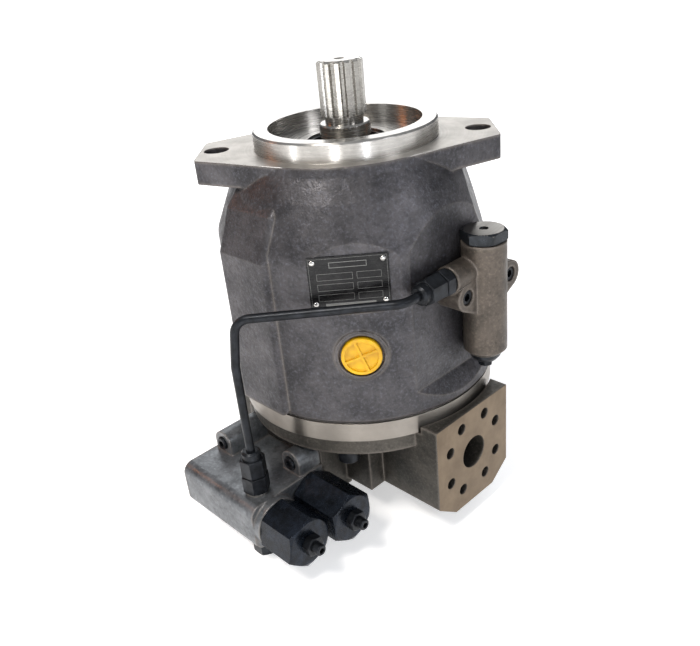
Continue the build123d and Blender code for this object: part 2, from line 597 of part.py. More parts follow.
def make_slipper(i):
    x, y = orbit_place(i)
    dx, dy = polar(ORBIT_OFFSET, -piston_angle(i))
    pad_foot = SLIPPER_HEIGHT - SLIPPER_PAD_THICK
    shape = cyl_z(SOCKET_R, -SOCKET_LIP, SLIPPER_HEIGHT - 1) + cyl_z(SLIPPER_PAD_R, pad_foot, SLIPPER_HEIGHT)
    shape -= Sphere(BALL_R + RUN_GAP)
    shape -= cyl_z(1.0, 0, SLIPPER_HEIGHT + 1)
    shape -= cyl_z(5.0, SLIPPER_HEIGHT - 0.8, SLIPPER_HEIGHT + 1)
    return SWASH * Pos(x - dx, y - dy, 0) * shape


def make_retaining_plate():
    top = SLIPPER_HEIGHT - SLIPPER_PAD_THICK - FACE_GAP
    plate = cyl_z(ORBIT_R + RETAINER_HOLE_R + RETAINER_RIM, top - RETAINER_THICK, top)
    plate -= Sphere(GUIDE_BALL_R + RUN_GAP)
    for i in range(PISTON_COUNT):
        plate -= cyl_z(RETAINER_HOLE_R, 0, top + 1, *orbit_place(i))
    return SWASH * plate


def make_guide_ball():
    ball = Pos(0, 0, TILT_Z) * Sphere(GUIDE_BALL_R)
    ball = ball & cyl_z(GUIDE_BALL_R + 1, TILT_Z - GUIDE_BALL_FOOT, TILT_Z + GUIDE_BALL_TOP)
    return ball - cyl_z(BLOCK_SPLINE_R + SEAT_GAP, TILT_Z - 40, TILT_Z + 40)


def make_cylinder_block():
    shape = cyl_z(BLOCK_R, BLOCK_FOOT_Z, BLOCK_TOP_Z)
    shape = chamfer(shape.edges().group_by(Axis.Z)[-1], 2.0)
    shape -= cyl_z(BLOCK_SPLINE_R + SEAT_GAP, BLOCK_FOOT_Z - 1, BLOCK_TOP_Z + 1)
    shape -= cyl_z(BLOCK_SPRING_R + BLOCK_SPRING_WIRE_R + 1.2, BLOCK_SPRING_SEAT, BLOCK_TOP_Z + 1)
    for i in range(PISTON_COUNT):
        shape -= cyl_z(PISTON_R + RUN_GAP, BLOCK_FOOT_Z + 5, BLOCK_TOP_Z + 1, *polar(PITCH_R, piston_angle(i)))
        shape -= kidney(PITCH_R, KIDNEY_HALF_WIDTH, piston_angle(i), 8.0, BLOCK_FOOT_Z - 1, BLOCK_FOOT_Z + 6)
    return shape


def make_block_spring():
    return coil(BLOCK_SPRING_R, BLOCK_SPRING_WIRE_R, BLOCK_SPRING_TURNS,
                BLOCK_SPRING_SEAT + SEAT_GAP, TILT_Z - GUIDE_BALL_FOOT - SEAT_GAP)


# ---- swash plate, cradle and control pistons --------------------------------------------------------------
def make_swash_plate():
    rocker = cyl_x(ROCKER_R, -ROCKER_HALF, ROCKER_HALF) & cyl_z(ROCKER_HALF + 6, SWASH_FACE, ROCKER_R + 5)
    rocker = SWASH * rocker & cyl_z(CRADLE_CAVITY_R - 1.5, TILT_Z - 40, 0)
    arm = block(-ARM_HALF_WIDTH, ARM_HALF_WIDTH, -ARM_REACH_LOW, ARM_REACH_HIGH, SWASH_FACE, SWASH_FACE + ARM_THICK)
    shape = rocker + SWASH * fillet(arm.edges().filter_by(Axis.Z), 4.0)
    shape -= SWASH * cyl_z(SWASH_SLOT_R, 0, ROCKER_R + 5)
    return shape - cyl_z(SWASH_SLOT_R, TILT_Z, 0)


def make_cradle_shells():
    inner, outer = ROCKER_R + RUN_GAP, ROCKER_R + RUN_GAP + ROCKER_SHELL
    shells = []
    for side in (-1, 1):
        x0, x1 = sorted((side * CRADLE_IN_X, side * CRADLE_OUT_X))
        shell = cyl_x(outer, x0, x1, 0, TILT_Z) - cyl_x(inner, x0 - 1, x1 + 1, 0, TILT_Z)
        shell = shell & block(x0, x1, -CRADLE_HALF_Y + 1, CRADLE_HALF_Y - 1, TILT_Z + 20, 0)
        shells.append(shell & cyl_z(CRADLE_CAVITY_R - 1, TILT_Z, 0))
    return shells


def make_stroking_piston():
    end_r = 6.0
    end_z = ball_end_height(STROKE_Y, end_r)
    shape = cyl_z(STROKE_PISTON_R, VALVE_PLATE_FOOT - 4, end_z - 10, STROKE_X, STROKE_Y)
    shape = chamfer(shape.edges().group_by(Axis.Z)[-1], 1.5)
    return shape + cyl_z(4.5, end_z - 11, end_z, STROKE_X, STROKE_Y) + Pos(STROKE_X, STROKE_Y, end_z) * Sphere(end_r)


def make_bias_piston():
    end_r = 5.0
    end_z = ball_end_height(BIAS_Y, end_r)
    shape = cyl_z(5.0, VALVE_PLATE_FOOT + 6, end_z, STROKE_X, BIAS_Y)
    shape += cyl_z(BIAS_SPRING_R + BIAS_SPRING_WIRE_R, BIAS_COLLAR_Z, BIAS_COLLAR_Z + 4, STROKE_X, BIAS_Y)
    return shape + Pos(STROKE_X, BIAS_Y, end_z) * Sphere(end_r)


def make_bias_spring():
    spring = coil(BIAS_SPRING_R, BIAS_SPRING_WIRE_R, BIAS_SPRING_TURNS,
                  VALVE_PLATE_FOOT + SEAT_GAP, BIAS_COLLAR_Z - SEAT_GAP)
    return Pos(STROKE_X, BIAS_Y, 0) * spring


# ---- valve plate and port plate ---------------------------------------------------------------------------
def make_valve_plate():
    plate = ring_z(VALVE_PLATE_R, SHAFT_CORE_R + 1.5, VALVE_PLATE_FOOT + SEAT_GAP, VALVE_PLATE_TOP)
    for middle in (0, 180):
        plate -= kidney(PITCH_R, KIDNEY_HALF_WIDTH, middle, KIDNEY_HALF_ANGLE, VALVE_PLATE_FOOT - 1, 0)
    return plate


def port_pad(side, half):
    """Machined port face with the two lower corners cut off."""
    top, foot = JOINT_Z + 5.5, PORT_FOOT_Z
    points = [(-half, top), (half, top), (half, foot + PORT_PAD_CHAMFER_Z), (half - PORT_PAD_CHAMFER_Y, foot)]
    points += [(PORT_PAD_CHAMFER_Y - half, foot), (-half, foot + PORT_PAD_CHAMFER_Z)]
    outline = Polyline(*[(0, y, z) for y, z in points], close=True)
    reach = PORT_FACE_X - CORE_HALF_X + 6
    pad = extrude(make_face(outline), reach, dir=(1, 0, 0))
    pad = Pos(PORT_FACE_X - reach, 0, 0) * pad
    pad -= cyl_z(BODY_R + 1.2, PORT_TOP_Z, top + 1)
    return pad if side > 0 else Rot(0, 0, 180) * pad


def port_bolts(side, long, short, radius, depth, upright):
    """Blind threaded holes of a split-flange pattern; upright turns its long side to Z."""
    half_y, half_z = (short / 2, long / 2) if upright else (long / 2, short / 2)
    holes = [cyl_x(radius, side * (PORT_FACE_X + 1), side * (PORT_FACE_X - depth), y, PORT_Z + z)
             for y in (-half_y, half_y) for z in (-half_z, half_z)]
    return holes


def make_port_plate():
    body = cyl_z(PORT_FLANGE_R, FLANGE_UNDER, PORT_TOP_Z)
    body += cyl_z(CAVITY_R - SOCKET_GAP, PORT_TOP_Z - 1, VALVE_PLATE_FOOT)
    core = block(-CORE_HALF_X, CORE_HALF_X, -CORE_HALF_Y, CORE_HALF_Y, PORT_FOOT_Z, FLANGE_UNDER + 1)
    body += chamfer(core.edges().filter_by(Axis.Y).group_by(Axis.Z)[0] + core.edges().filter_by(Axis.X).group_by(Axis.Z)[0],
                    PORT_PAD_CHAMFER_Z)
    body += port_pad(1, PORT_PAD_HALF) + port_pad(-1, SUCTION_PAD_HALF)
    seat = block(SEAT_BLOCK_LEFT, SEAT_BLOCK_RIGHT, VALVE_SEAT_Y, -CORE_HALF_Y + 4, SEAT_BLOCK_FOOT_Z, FLANGE_UNDER + 1)
    for angle in JOINT_BOLT_ANGLES:
        seat -= cyl_z(JOINT_BOLT_NOTCH_R, SEAT_BLOCK_FOOT_Z - 1, FLANGE_UNDER, *polar(JOINT_BOLT_PCR, angle))
    body += seat
    body += cyl_z(STROKE_SLEEVE_R, PORT_TOP_Z - 1, STROKE_SLEEVE_TOP_Z, STROKE_X, STROKE_Y)
    body -= cyl_x(PRESSURE_BORE_R, 30, PORT_FACE_X + 1, 0, PORT_Z)
    body -= cyl_x(SUCTION_BORE_R, -30, -PORT_FACE_X - 1, 0, PORT_Z)
    for hole in (port_bolts(1, PRESSURE_BOLT_LONG, PRESSURE_BOLT_SHORT, PRESSURE_BOLT_R, PRESSURE_BOLT_DEPTH, True)
                 + port_bolts(1, PRESSURE_BOLT_LONG, PRESSURE_BOLT_SHORT, PRESSURE_BOLT_R, PRESSURE_BOLT_DEPTH, False)
                 + port_bolts(-1, SUCTION_BOLT_LONG, SUCTION_BOLT_SHORT, SUCTION_BOLT_R, SUCTION_BOLT_DEPTH, False)):
        body -= hole
    for middle in (0, 180):
        body -= kidney(PITCH_R, KIDNEY_HALF_WIDTH, middle, 42.0 if middle == 0 else 55.0, PORT_Z, 0)
    body -= cyl_z(REAR_BEARING_R, REAR_BEARING_FOOT, 0)
    body -= cyl_z(STROKE_PISTON_R + RUN_GAP, STROKE_SLEEVE_FOOT, 0, STROKE_X, STROKE_Y)
    for angle in JOINT_BOLT_ANGLES:
        body -= cyl_z(JOINT_BOLT_R + SOCKET_GAP, FLANGE_UNDER - 1, JOINT_Z + 1, *polar(JOINT_BOLT_PCR, angle))
    for x, _ in EARS:
        body -= cyl_y(VALVE_BOLT_R + SEAT_GAP, VALVE_SEAT_Y - 1, VALVE_SEAT_Y + VALVE_BOLT_GRIP + 2, x, EAR_Z)
    return body


def make_gasket():
    gasket = ring_z(GASKET_R, CAVITY_R + SOCKET_GAP, PORT_TOP_Z, JOINT_Z)
    for y in (STROKE_Y, BIAS_Y):
        gasket -= cyl_z(STROKE_POCKET_R + SOCKET_GAP, PORT_TOP_Z - 1, JOINT_Z + 1, STROKE_X, y)
    for angle in JOINT_BOLT_ANGLES:
        gasket -= cyl_z(JOINT_BOLT_R + SOCKET_GAP, PORT_TOP_Z - 1, JOINT_Z + 1, *polar(JOINT_BOLT_PCR, angle))
    return gasket


def socket_screw(shank_r, shank_length, head_r, head_height):
    """Socket head screw along +Z: the head stands on z = 0 and the shank points down."""
    head = chamfer(cyl_z(head_r, 0, head_height).edges().group_by(Axis.Z)[-1], head_r * 0.08)
    socket = Pos(0, 0, head_height * 0.5) * extrude(RegularPolygon(head_r * 0.5, 6, False), head_height)
    return head - socket + cyl_z(shank_r, -shank_length, 0)


def make_joint_bolts():
    screw = socket_screw(JOINT_BOLT_R - SEAT_GAP, PORT_FLANGE_THICK + JOINT_BOLT_DEPTH, JOINT_BOLT_HEAD_R,
                         JOINT_BOLT_HEAD)
    return [Pos(*polar(JOINT_BOLT_PCR, angle), FLANGE_UNDER) * along(screw, "-z") for angle in JOINT_BOLT_ANGLES]


# ---- pressure and flow control valve ----------------------------------------------------------------------
CONTROLS = {"pressure": (PRESSURE_SPOOL_Y, PRESSURE_LOBE_X, PRESSURE_CAP_LENGTH, PRESSURE_CAP_TURN),
            "flow": (FLOW_SPOOL_Y, FLOW_LOBE_X, FLOW_CAP_LENGTH, FLOW_CAP_TURN)}


def make_control_body():
    body = block(LOBE_END_X, FLOW_LOBE_X, PRESSURE_SPOOL_Y - LOBE_R, VALVE_SEAT_Y, SPOOL_Z - LOBE_R, SPOOL_Z + LOBE_R)
    body = fillet(body.edges().filter_by(Axis.X).group_by(Axis.Y)[0], VALVE_EDGE_R)
    for y, face_x, _, _ in CONTROLS.values():
        lobe = cyl_x(LOBE_R, LOBE_END_X, face_x, y, SPOOL_Z)
        body += lobe & block(LOBE_END_X, face_x, y - 50, VALVE_SEAT_Y, SPOOL_Z - 50, SPOOL_Z + 50)
    for x, face_y in EARS:
        ear = cyl_y(EAR_R, face_y, VALVE_SEAT_Y, x, EAR_Z)
        body += ear + block(x - EAR_R, x + EAR_R, face_y, VALVE_SEAT_Y, SPOOL_Z, EAR_Z)
    body += cyl_z(FOOT_BOSS_R, SPOOL_Z, FOOT_BOSS_Z, FOOT_PLUG_X, PRESSURE_SPOOL_Y)
    for y, face_x, _, _ in CONTROLS.values():
        thread_end = face_x - CAP_THREAD_LENGTH
        body -= cyl_x(SPOOL_R + RUN_GAP, SPOOL_BORE_START_X - 1, face_x, y, SPOOL_Z)
        body -= cyl_x(CAP_THREAD_R + SEAT_GAP, thread_end, face_x + 1, y, SPOOL_Z)
        body -= cyl_x(SPRING_BORE_R, thread_end - SPRING_BORE_DEPTH, face_x, y, SPOOL_Z)
        body -= cyl_x(END_PLUG_R + SEAT_GAP, LOBE_END_X - 1, SPOOL_BORE_START_X, y, SPOOL_Z)
    for x, face_y in EARS:
        body -= cyl_y(VALVE_BOLT_R + SOCKET_GAP, face_y - 1, VALVE_SEAT_Y + 1, x, EAR_Z)
        body -= cyl_y(VALVE_BOLT_HEAD_R + SOCKET_GAP, face_y - 1, face_y + VALVE_BOLT_SINK, x, EAR_Z)
    lobe_top = SPOOL_Z + LOBE_R
    body -= cyl_z(FITTING_THREAD_R + SEAT_GAP, lobe_top - FITTING_THREAD, lobe_top + 1, *TUBE_END)
    body -= cyl_z(FOOT_THREAD_R + SEAT_GAP, FOOT_BOSS_Z - 1, FOOT_BOSS_Z + FITTING_THREAD, FOOT_PLUG_X, PRESSURE_SPOOL_Y)
    return body


def make_spring_cap(y, face_x, length, turn):
    cap = hex_z(CAP_AF, 0, length, turn=turn) + cyl_z(CAP_AF / 2 - 0.4, 0, 2)
    cap += cyl_z(CAP_THREAD_R, SEAT_GAP - CAP_THREAD_LENGTH, 1)
    cap -= cyl_z(CAP_BORE_R, -CAP_THREAD_LENGTH - 1, length - CAP_END_WALL)
    cap -= cyl_z(ADJUSTER_R + RUN_GAP, 0, length + 1)
    return Pos(face_x + SEAT_GAP, y, SPOOL_Z) * along(cap, "+x")


def seat_face(face_x, length):
    """Outer face of the spring seat, where its adjusting screw bears on it."""
    return face_x + length - SPRING_SEAT_DEPTH


def spool_shoulder(face_x):
    """Foot of the disc at the end of a spool."""
    return face_x - CAP_THREAD_LENGTH - SPRING_BORE_DEPTH + 0.5


def make_spring_seat(y, face_x, length, _):
    seat_x = seat_face(face_x, length)
    seat = cyl_x(CAP_BORE_R - 1.0, seat_x - SPRING_SEAT_THICK, seat_x, y, SPOOL_Z)
    return seat + cyl_x(CONTROL_SPRING_R - 2.5, seat_x - SPRING_SEAT_THICK - 5, seat_x, y, SPOOL_Z)


def make_adjusting_screw(y, face_x, length, _):
    start, end = seat_face(face_x, length) + FACE_GAP, face_x + length + ADJUSTER_OUT
    screw = cyl_z(ADJUSTER_R, 0, end - start)
    screw = chamfer(screw.edges().group_by(Axis.Z)[-1], 0.6)
    screw -= Pos(0, 0, end - start - 4) * extrude(RegularPolygon(2.0, 6, False), 6)
    return Pos(start, y, SPOOL_Z) * along(screw, "+x")


def make_lock_nut(y, face_x, length, _):
    nut = hex_z(LOCK_NUT_AF, 0, LOCK_NUT_HEIGHT, turn=15) - cyl_z(ADJUSTER_R + RUN_GAP, -1, LOCK_NUT_HEIGHT + 1)
    return Pos(face_x + length + 2 * SEAT_GAP, y, SPOOL_Z) * along(nut, "+x")


def make_control_spool(y, face_x, *_):
    """Spool with two grooves and the disc that its spring pushes on."""
    start, shoulder = SPOOL_BORE_START_X + 1, spool_shoulder(face_x)
    spool = cyl_x(SPOOL_R, start, shoulder, y, SPOOL_Z)
    land = (shoulder - start) / 5
    for i in (1, 3):
        groove = cyl_x(SPOOL_R + 1, start + i * land, start + (i + 0.8) * land, y, SPOOL_Z)
        spool -= groove - cyl_x(SPOOL_R - 2.2, start, shoulder, y, SPOOL_Z)
    return spool + cyl_x(SPRING_BORE_R - 1, shoulder, shoulder + 2.5, y, SPOOL_Z)


def make_control_spring(y, face_x, length, _):
    """Rides with its spool and stays clear of the seat over both travels."""
    start = spool_shoulder(face_x) + 2.5
    end = seat_face(face_x, length) - SPRING_SEAT_THICK - SPOOL_TRAVEL - ADJUSTER_TRAVEL - 0.5
    spring = coil(CONTROL_SPRING_R, CONTROL_SPRING_WIRE_R, CONTROL_SPRING_TURNS, SEAT_GAP, end - start)
    return Pos(start, y, SPOOL_Z) * along(spring, "+x")


def make_valve_bolts():
    """Screws of both valves."""
    bolts = []
    for x, face_y in EARS:
        head_y = face_y + VALVE_BOLT_SINK
        screw = socket_screw(VALVE_BOLT_R, VALVE_SEAT_Y - head_y + VALVE_BOLT_GRIP, VALVE_BOLT_HEAD_R, VALVE_BOLT_HEAD)
        bolts.append(Pos(x, head_y, EAR_Z) * along(screw, "-y"))
    head_x = POWER_EAR_X - POWER_BOLT_SINK
    screw = socket_screw(POWER_BOLT_R, head_x - VALVE_FLAT_X + POWER_BOLT_DEPTH - 1, POWER_BOLT_HEAD_R, POWER_BOLT_HEAD)
    for side in (-1, 1):
        bolts.append(Pos(head_x, POWER_Y + side * POWER_BOLT_HALF, POWER_BOLT_Z) * along(screw, "+x"))
    return bolts


def make_valve_plugs():
    """Closing plugs: one behind each spool, one under the control valve and one on the power valve."""
    back = -LOBE_END_X - 0.5
    end_plug = cyl_z(END_PLUG_R, 0.5 - SPOOL_BORE_START_X, back)
    end_plug -= Pos(0, 0, back - 5) * extrude(RegularPolygon(3.0, 6, False), 8)
    plugs = [Pos(0, y, SPOOL_Z) * along(end_plug, "-x") for y, *_ in CONTROLS.values()]
    foot = hex_z(17.0, 0, FOOT_PLUG_HEIGHT) + cyl_z(9.0, -1.2, 0) + cyl_z(FOOT_THREAD_R, 1.2 - FITTING_THREAD, 0)
    plugs.append(Pos(FOOT_PLUG_X, PRESSURE_SPOOL_Y, FOOT_BOSS_Z - 1.2 - SEAT_GAP) * along(foot, "-z"))
    top = hex_z(POWER_PLUG_AF, SEAT_GAP, POWER_PLUG_HEIGHT, turn=30) + cyl_z(POWER_THREAD_R, -POWER_THREAD, 1)
    top -= cyl_z(3.0, POWER_PLUG_HEIGHT - 1.0, POWER_PLUG_HEIGHT + 1)
    plugs.append(Pos(POWER_X, POWER_Y, POWER_TOP_Z) * top)
    return plugs


# ---- power control valve ----------------------------------------------------------------------------------
def power_ear():
    """Outline of the ear plate, across Y and Z."""
    tip_r = POWER_EAR_HALF - POWER_BOLT_HALF
    middle_z = (POWER_EAR_TOP_Z + POWER_EAR_LOW_Z) / 2
    tips = [(Pos(side * POWER_BOLT_HALF, POWER_BOLT_Z) * Circle(tip_r)).edges() for side in (-1, 1)]
    middle = Pos(0, middle_z) * Rectangle(2 * POWER_R - 2, POWER_EAR_TOP_Z - POWER_EAR_LOW_Z)
    return make_hull(tips[0] + tips[1] + middle.edges())


def make_power_body():
    seat_x = VALVE_FLAT_X + SEAT_GAP
    body = cyl_z(POWER_R, POWER_FOOT_Z, POWER_TOP_Z, POWER_X, POWER_Y)
    body = chamfer(body.edges().group_by(Axis.Z)[0], 3.0)
    body += Pos(seat_x, POWER_Y, 0) * Rot(0, 0, 90) * Rot(90, 0, 0) * extrude(power_ear(), POWER_EAR_X - seat_x)
    boss_end = POWER_Y - POWER_EAR_HALF
    body += cyl_y(POWER_BOSS_R, boss_end, POWER_Y, POWER_FITTING_X, POWER_FITTING_Z)
    body &= block(seat_x, 200, -200, 200, POWER_FOOT_Z - 1, POWER_TOP_Z)
    body -= cyl_y(FITTING_THREAD_R + SEAT_GAP, boss_end - 1, boss_end + FITTING_THREAD, POWER_FITTING_X, POWER_FITTING_Z)
    body -= cyl_z(POWER_BORE_R + RUN_GAP, POWER_FOOT_Z + POWER_FLOOR, POWER_TOP_Z + 1, POWER_X, POWER_Y)
    body -= cyl_z(POWER_THREAD_R + SEAT_GAP, POWER_TOP_Z - POWER_THREAD, POWER_TOP_Z + 1, POWER_X, POWER_Y)
    body -= cyl_z(POWER_SCREW_R + RUN_GAP, POWER_FOOT_Z - 2, POWER_FOOT_Z + POWER_FLOOR + 1, POWER_X, POWER_Y)
    for side in (-1, 1):
        place = POWER_Y + side * POWER_BOLT_HALF, POWER_BOLT_Z
        body -= cyl_x(POWER_BOLT_R + SOCKET_GAP, 0, 200, *place)
        body -= cyl_x(POWER_BOLT_HEAD_R + SOCKET_GAP, POWER_EAR_X - POWER_BOLT_SINK, 200, *place)
    return body


def make_power_spool():
    foot, top = POWER_SPOOL_FOOT, POWER_SPOOL_TOP
    spool = cyl_z(POWER_BORE_R, foot, top, POWER_X, POWER_Y)
    return spool - ring_z(POWER_BORE_R + 1, POWER_BORE_R - 2, foot + 10, foot + 18, POWER_X, POWER_Y)


def make_power_adjuster():
    """Adjusting screw with the domed cap it carries under the valve."""
    top = POWER_FOOT_Z - FACE_GAP
    cap = turned([(0, top), (POWER_R - 3.5, top), (POWER_R - 4.5, top - 3), (8.0, top - POWER_CAP), (0, top - POWER_CAP)])
    nub = hex_z(2 * POWER_NUB_R, -POWER_CAP - POWER_NUB, -POWER_CAP + 1)
    screw = cyl_z(POWER_SCREW_R, -1, POWER_FLOOR + 4.0)
    head = cyl_z(POWER_BORE_R - 1.5, POWER_FLOOR + 2.0, POWER_FLOOR + 4.5)
    return Pos(POWER_X, POWER_Y, 0) * (cap + Pos(0, 0, top) * (nub + screw + head))


# ---- pilot tube and its fittings --------------------------------------------------------------------------
def tube_fitting(hexagon, turn):
    """Straight screwed fitting along +Z, seated on z = 0, with its thread below."""
    top = 1.5 + hexagon
    fitting = cyl_z(FITTING_COLLAR_R, 0, 1.5) + hex_z(FITTING_AF, 1.5, top, turn=turn)
    fitting += cyl_z(FITTING_NECK_R, 1.0, top + FITTING_NECK) + cyl_z(FITTING_THREAD_R, 1 - FITTING_THREAD, 1)
    return fitting - cyl_z(TUBE_R + SEAT_GAP, 6.0, top + FITTING_NECK + 1) - cyl_z(1.5, -FITTING_THREAD, 7)


def tube_nut(hexagon, turn):
    foot = 1.5 + hexagon + 0.3
    nut = hex_z(TUBE_NUT_AF, foot, foot + TUBE_NUT_LENGTH * 0.7, turn=turn)
    tail = cyl_z(TUBE_NUT_AF * 0.42, foot + 1, foot + TUBE_NUT_LENGTH)
    nut += chamfer(tail.edges().group_by(Axis.Z)[-1], 1.5)
    nut -= cyl_z(FITTING_NECK_R + SEAT_GAP, foot - 1, foot + FITTING_NECK)
    return nut - cyl_z(TUBE_R + SEAT_GAP, 0, foot + TUBE_NUT_LENGTH + 1)


def make_tube_unions():
    """Fitting and nut at both ends of the tube."""
    at_power = Pos(POWER_FITTING_X, POWER_Y - POWER_EAR_HALF - SEAT_GAP, POWER_FITTING_Z)
    at_control = Pos(*TUBE_END, SPOOL_Z + LOBE_R + SEAT_GAP)
    upper = [at_power * along(piece(POWER_FITTING_HEX, 30), "-y") for piece in (tube_fitting, tube_nut)]
    return upper + [at_control * piece(CONTROL_FITTING_HEX, 10) for piece in (tube_fitting, tube_nut)]


def make_pilot_tube():
    start_y = POWER_Y - POWER_EAR_HALF - 7.0
    points = [(POWER_FITTING_X, start_y, POWER_FITTING_Z), (POWER_FITTING_X, TUBE_TURN_Y, POWER_FITTING_Z)]
    points += [TUBE_CORNER, (*TUBE_END, TUBE_CORNER[2] - TUBE_LEAN), (*TUBE_END, TUBE_FOOT_Z)]
    path = FilletPolyline(*points, radius=TUBE_BEND)
    section = Plane(origin=path @ 0, z_dir=path % 0) * (Circle(TUBE_R) - Circle(TUBE_R - TUBE_WALL))
    return sweep(section, path=path)


def main():
    os.makedirs("parts", exist_ok=True)
    save("housing", make_housing())
    save("port_plate", make_port_plate())
    save("housing_gasket", make_gasket())
    save("port_plate_bolts", make_joint_bolts())
    save("drive_shaft", make_shaft())
    save("shaft_seal", make_shaft_seal())
    save("seal_retaining_ring", make_seal_ring())
    front = taper_bearing(FRONT_BEARING_FOOT_Z, FRONT_BEARING_TOP_Z, SEAL_SEAT_R, FRONT_BEARING_R, FRONT_BEARING_ROLLERS)
    rear = taper_bearing(REAR_BEARING_TOP, REAR_BEARING_FOOT + SEAT_GAP, REAR_JOURNAL_R, REAR_BEARING_R,
                         REAR_BEARING_ROLLERS)
    save("bearing_inner_races", [front[0], rear[0]])
    save("bearing_outer_races", [front[1], rear[1]])
    save("front_bearing_rollers", front[2])
    save("rear_bearing_rollers", rear[2])
    for i in range(PISTON_COUNT):
        save(f"piston_{i + 1}", make_piston(i))
        save(f"slipper_{i + 1}", make_slipper(i))
    save("retaining_plate", make_retaining_plate())
    save("guide_ball", make_guide_ball())
    save("cylinder_block", make_cylinder_block())
    save("block_spring", make_block_spring())
    save("swash_plate", make_swash_plate())
    save("cradle_bearings", make_cradle_shells())
    save("stroking_piston", make_stroking_piston())
    save("bias_piston", make_bias_piston())
    save("bias_spring", make_bias_spring())
    save("valve_plate", make_valve_plate())
    save("drain_plugs", [make_drain_plug(0), make_drain_plug(180)])
    save("nameplate", make_nameplate())
    save("nameplate_rivets", make_rivets())
    save("control_valve_body", make_control_body())
    save("spring_caps", [make_spring_cap(*numbers) for numbers in CONTROLS.values()])
    save("lock_nuts", [make_lock_nut(*numbers) for numbers in CONTROLS.values()])
    for name, numbers in CONTROLS.items():
        save(f"{name}_spring_seat", make_spring_seat(*numbers))
        save(f"{name}_adjusting_screw", make_adjusting_screw(*numbers))
        save(f"{name}_spool", make_control_spool(*numbers))
        save(f"{name}_spring", make_control_spring(*numbers))
    save("valve_bolts", make_valve_bolts())
    save("valve_plugs", make_valve_plugs())
    save("power_valve_body", make_power_body())
    save("power_valve_spool", make_power_spool())
    save("power_valve_adjuster", make_power_adjuster())
    save("tube_unions", make_tube_unions())
    save("pilot_tube", make_pilot_tube())


main()
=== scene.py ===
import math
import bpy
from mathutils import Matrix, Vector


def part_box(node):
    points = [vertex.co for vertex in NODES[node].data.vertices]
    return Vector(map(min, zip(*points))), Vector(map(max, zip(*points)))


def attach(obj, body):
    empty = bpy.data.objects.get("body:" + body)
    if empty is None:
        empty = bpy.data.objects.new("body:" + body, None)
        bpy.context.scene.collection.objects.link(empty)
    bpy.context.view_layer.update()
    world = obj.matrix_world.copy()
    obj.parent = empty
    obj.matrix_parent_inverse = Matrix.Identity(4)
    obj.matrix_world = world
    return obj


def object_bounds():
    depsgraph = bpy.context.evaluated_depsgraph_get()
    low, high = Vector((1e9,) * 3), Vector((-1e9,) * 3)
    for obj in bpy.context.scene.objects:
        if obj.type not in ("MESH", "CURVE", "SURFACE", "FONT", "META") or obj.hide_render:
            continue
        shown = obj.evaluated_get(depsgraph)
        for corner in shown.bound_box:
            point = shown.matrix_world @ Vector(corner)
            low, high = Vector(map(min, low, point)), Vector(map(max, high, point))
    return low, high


bl_info = {
    "name": "Axial Piston Pump",
    "version": (1, 0, 0),
    "blender": (4, 5, 0),
    "location": "3D View > Sidebar > Pump",
    "description": "Finishes and details of a swash-plate axial piston pump",
    "category": "Object",
}

import bmesh
import bpy
from bpy.props import FloatProperty, FloatVectorProperty, IntProperty, PointerProperty, StringProperty
from mathutils import Matrix, Vector

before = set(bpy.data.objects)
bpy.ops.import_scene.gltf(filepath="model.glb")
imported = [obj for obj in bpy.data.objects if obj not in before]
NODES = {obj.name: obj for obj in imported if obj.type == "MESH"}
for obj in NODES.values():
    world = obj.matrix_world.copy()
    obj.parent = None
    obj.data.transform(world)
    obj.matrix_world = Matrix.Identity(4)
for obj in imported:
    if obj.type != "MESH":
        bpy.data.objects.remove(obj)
CAD_LOW, CAD_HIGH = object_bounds()

MM = 0.001
JOINT_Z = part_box("housing")[0].z
PORT_FACE_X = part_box("port_plate")[1].x
AXIS_Z = Vector((0, 0, 1))
RING_TOP_Z = JOINT_Z + 14.5 * MM        # top of the machined band at the housing's foot
SKIN = 0.2 * MM                         # a face this close to a machined plane belongs to it
COLLAR_ABOVE_CAPS = -0.88 * MM          # height of the lower fitting's collar from the top of the spring caps
COLLAR_HALF = 0.86 * MM                 # half the collar's height
PLUG_TOP_DEPTH = 1.5 * MM               # the highest plug's flat top lies within this of its highest point
LOWER_FITTING_Y = -100 * MM             # the lower fitting stands further out than this
SCREW_THREAD_LENGTH = 5.4 * MM          # from a screw's end to the start of its standing thread
SCREW_THREAD_TURNS = 4
# corners of the thread's section, along the screw and out from it, in pitches
THREAD_SECTION = [(-0.36, -0.108), (0.36, -0.108), (0.08, 0.027), (-0.08, 0.027)]
PLATE_FRONT = 0.99                      # least cosine between a face's normal and the nameplate's own


# ---- small helpers ------------------------------------------------------------------------------
def linear(text):
    """An sRGB hex colour as a linear colour with alpha."""
    parts = [int(text[i : i + 2], 16) / 255 for i in (1, 3, 5)]
    return [part / 12.92 if part <= 0.04045 else ((part + 0.055) / 1.055) ** 2.4 for part in parts] + [1.0]


def socket(sockets, key):
    """The socket with this number or name; of several with one name, the one that the node uses now."""
    return sockets[key] if isinstance(key, int) else next(s for s in sockets if s.name == key and s.enabled)


def set_up(node, settings, links):
    """Sets attributes or socket values by name, and links sockets to outputs, or to a node's first output."""
    for key, value in (settings or {}).items():
        if hasattr(node, key):
            setattr(node, key, value)
        else:
            socket(node.inputs, key).default_value = value
    for key, source in (links or {}).items():
        if isinstance(source, bpy.types.Node):
            source = next(s for s in source.outputs if s.enabled)
        node.id_data.links.new(source, socket(node.inputs, key))
    return node


def add(tree, kind, settings=None, links=None):
    """Adds a shader node of a kind with its settings and links."""
    return set_up(tree.nodes.new("ShaderNode" + kind), settings, links)


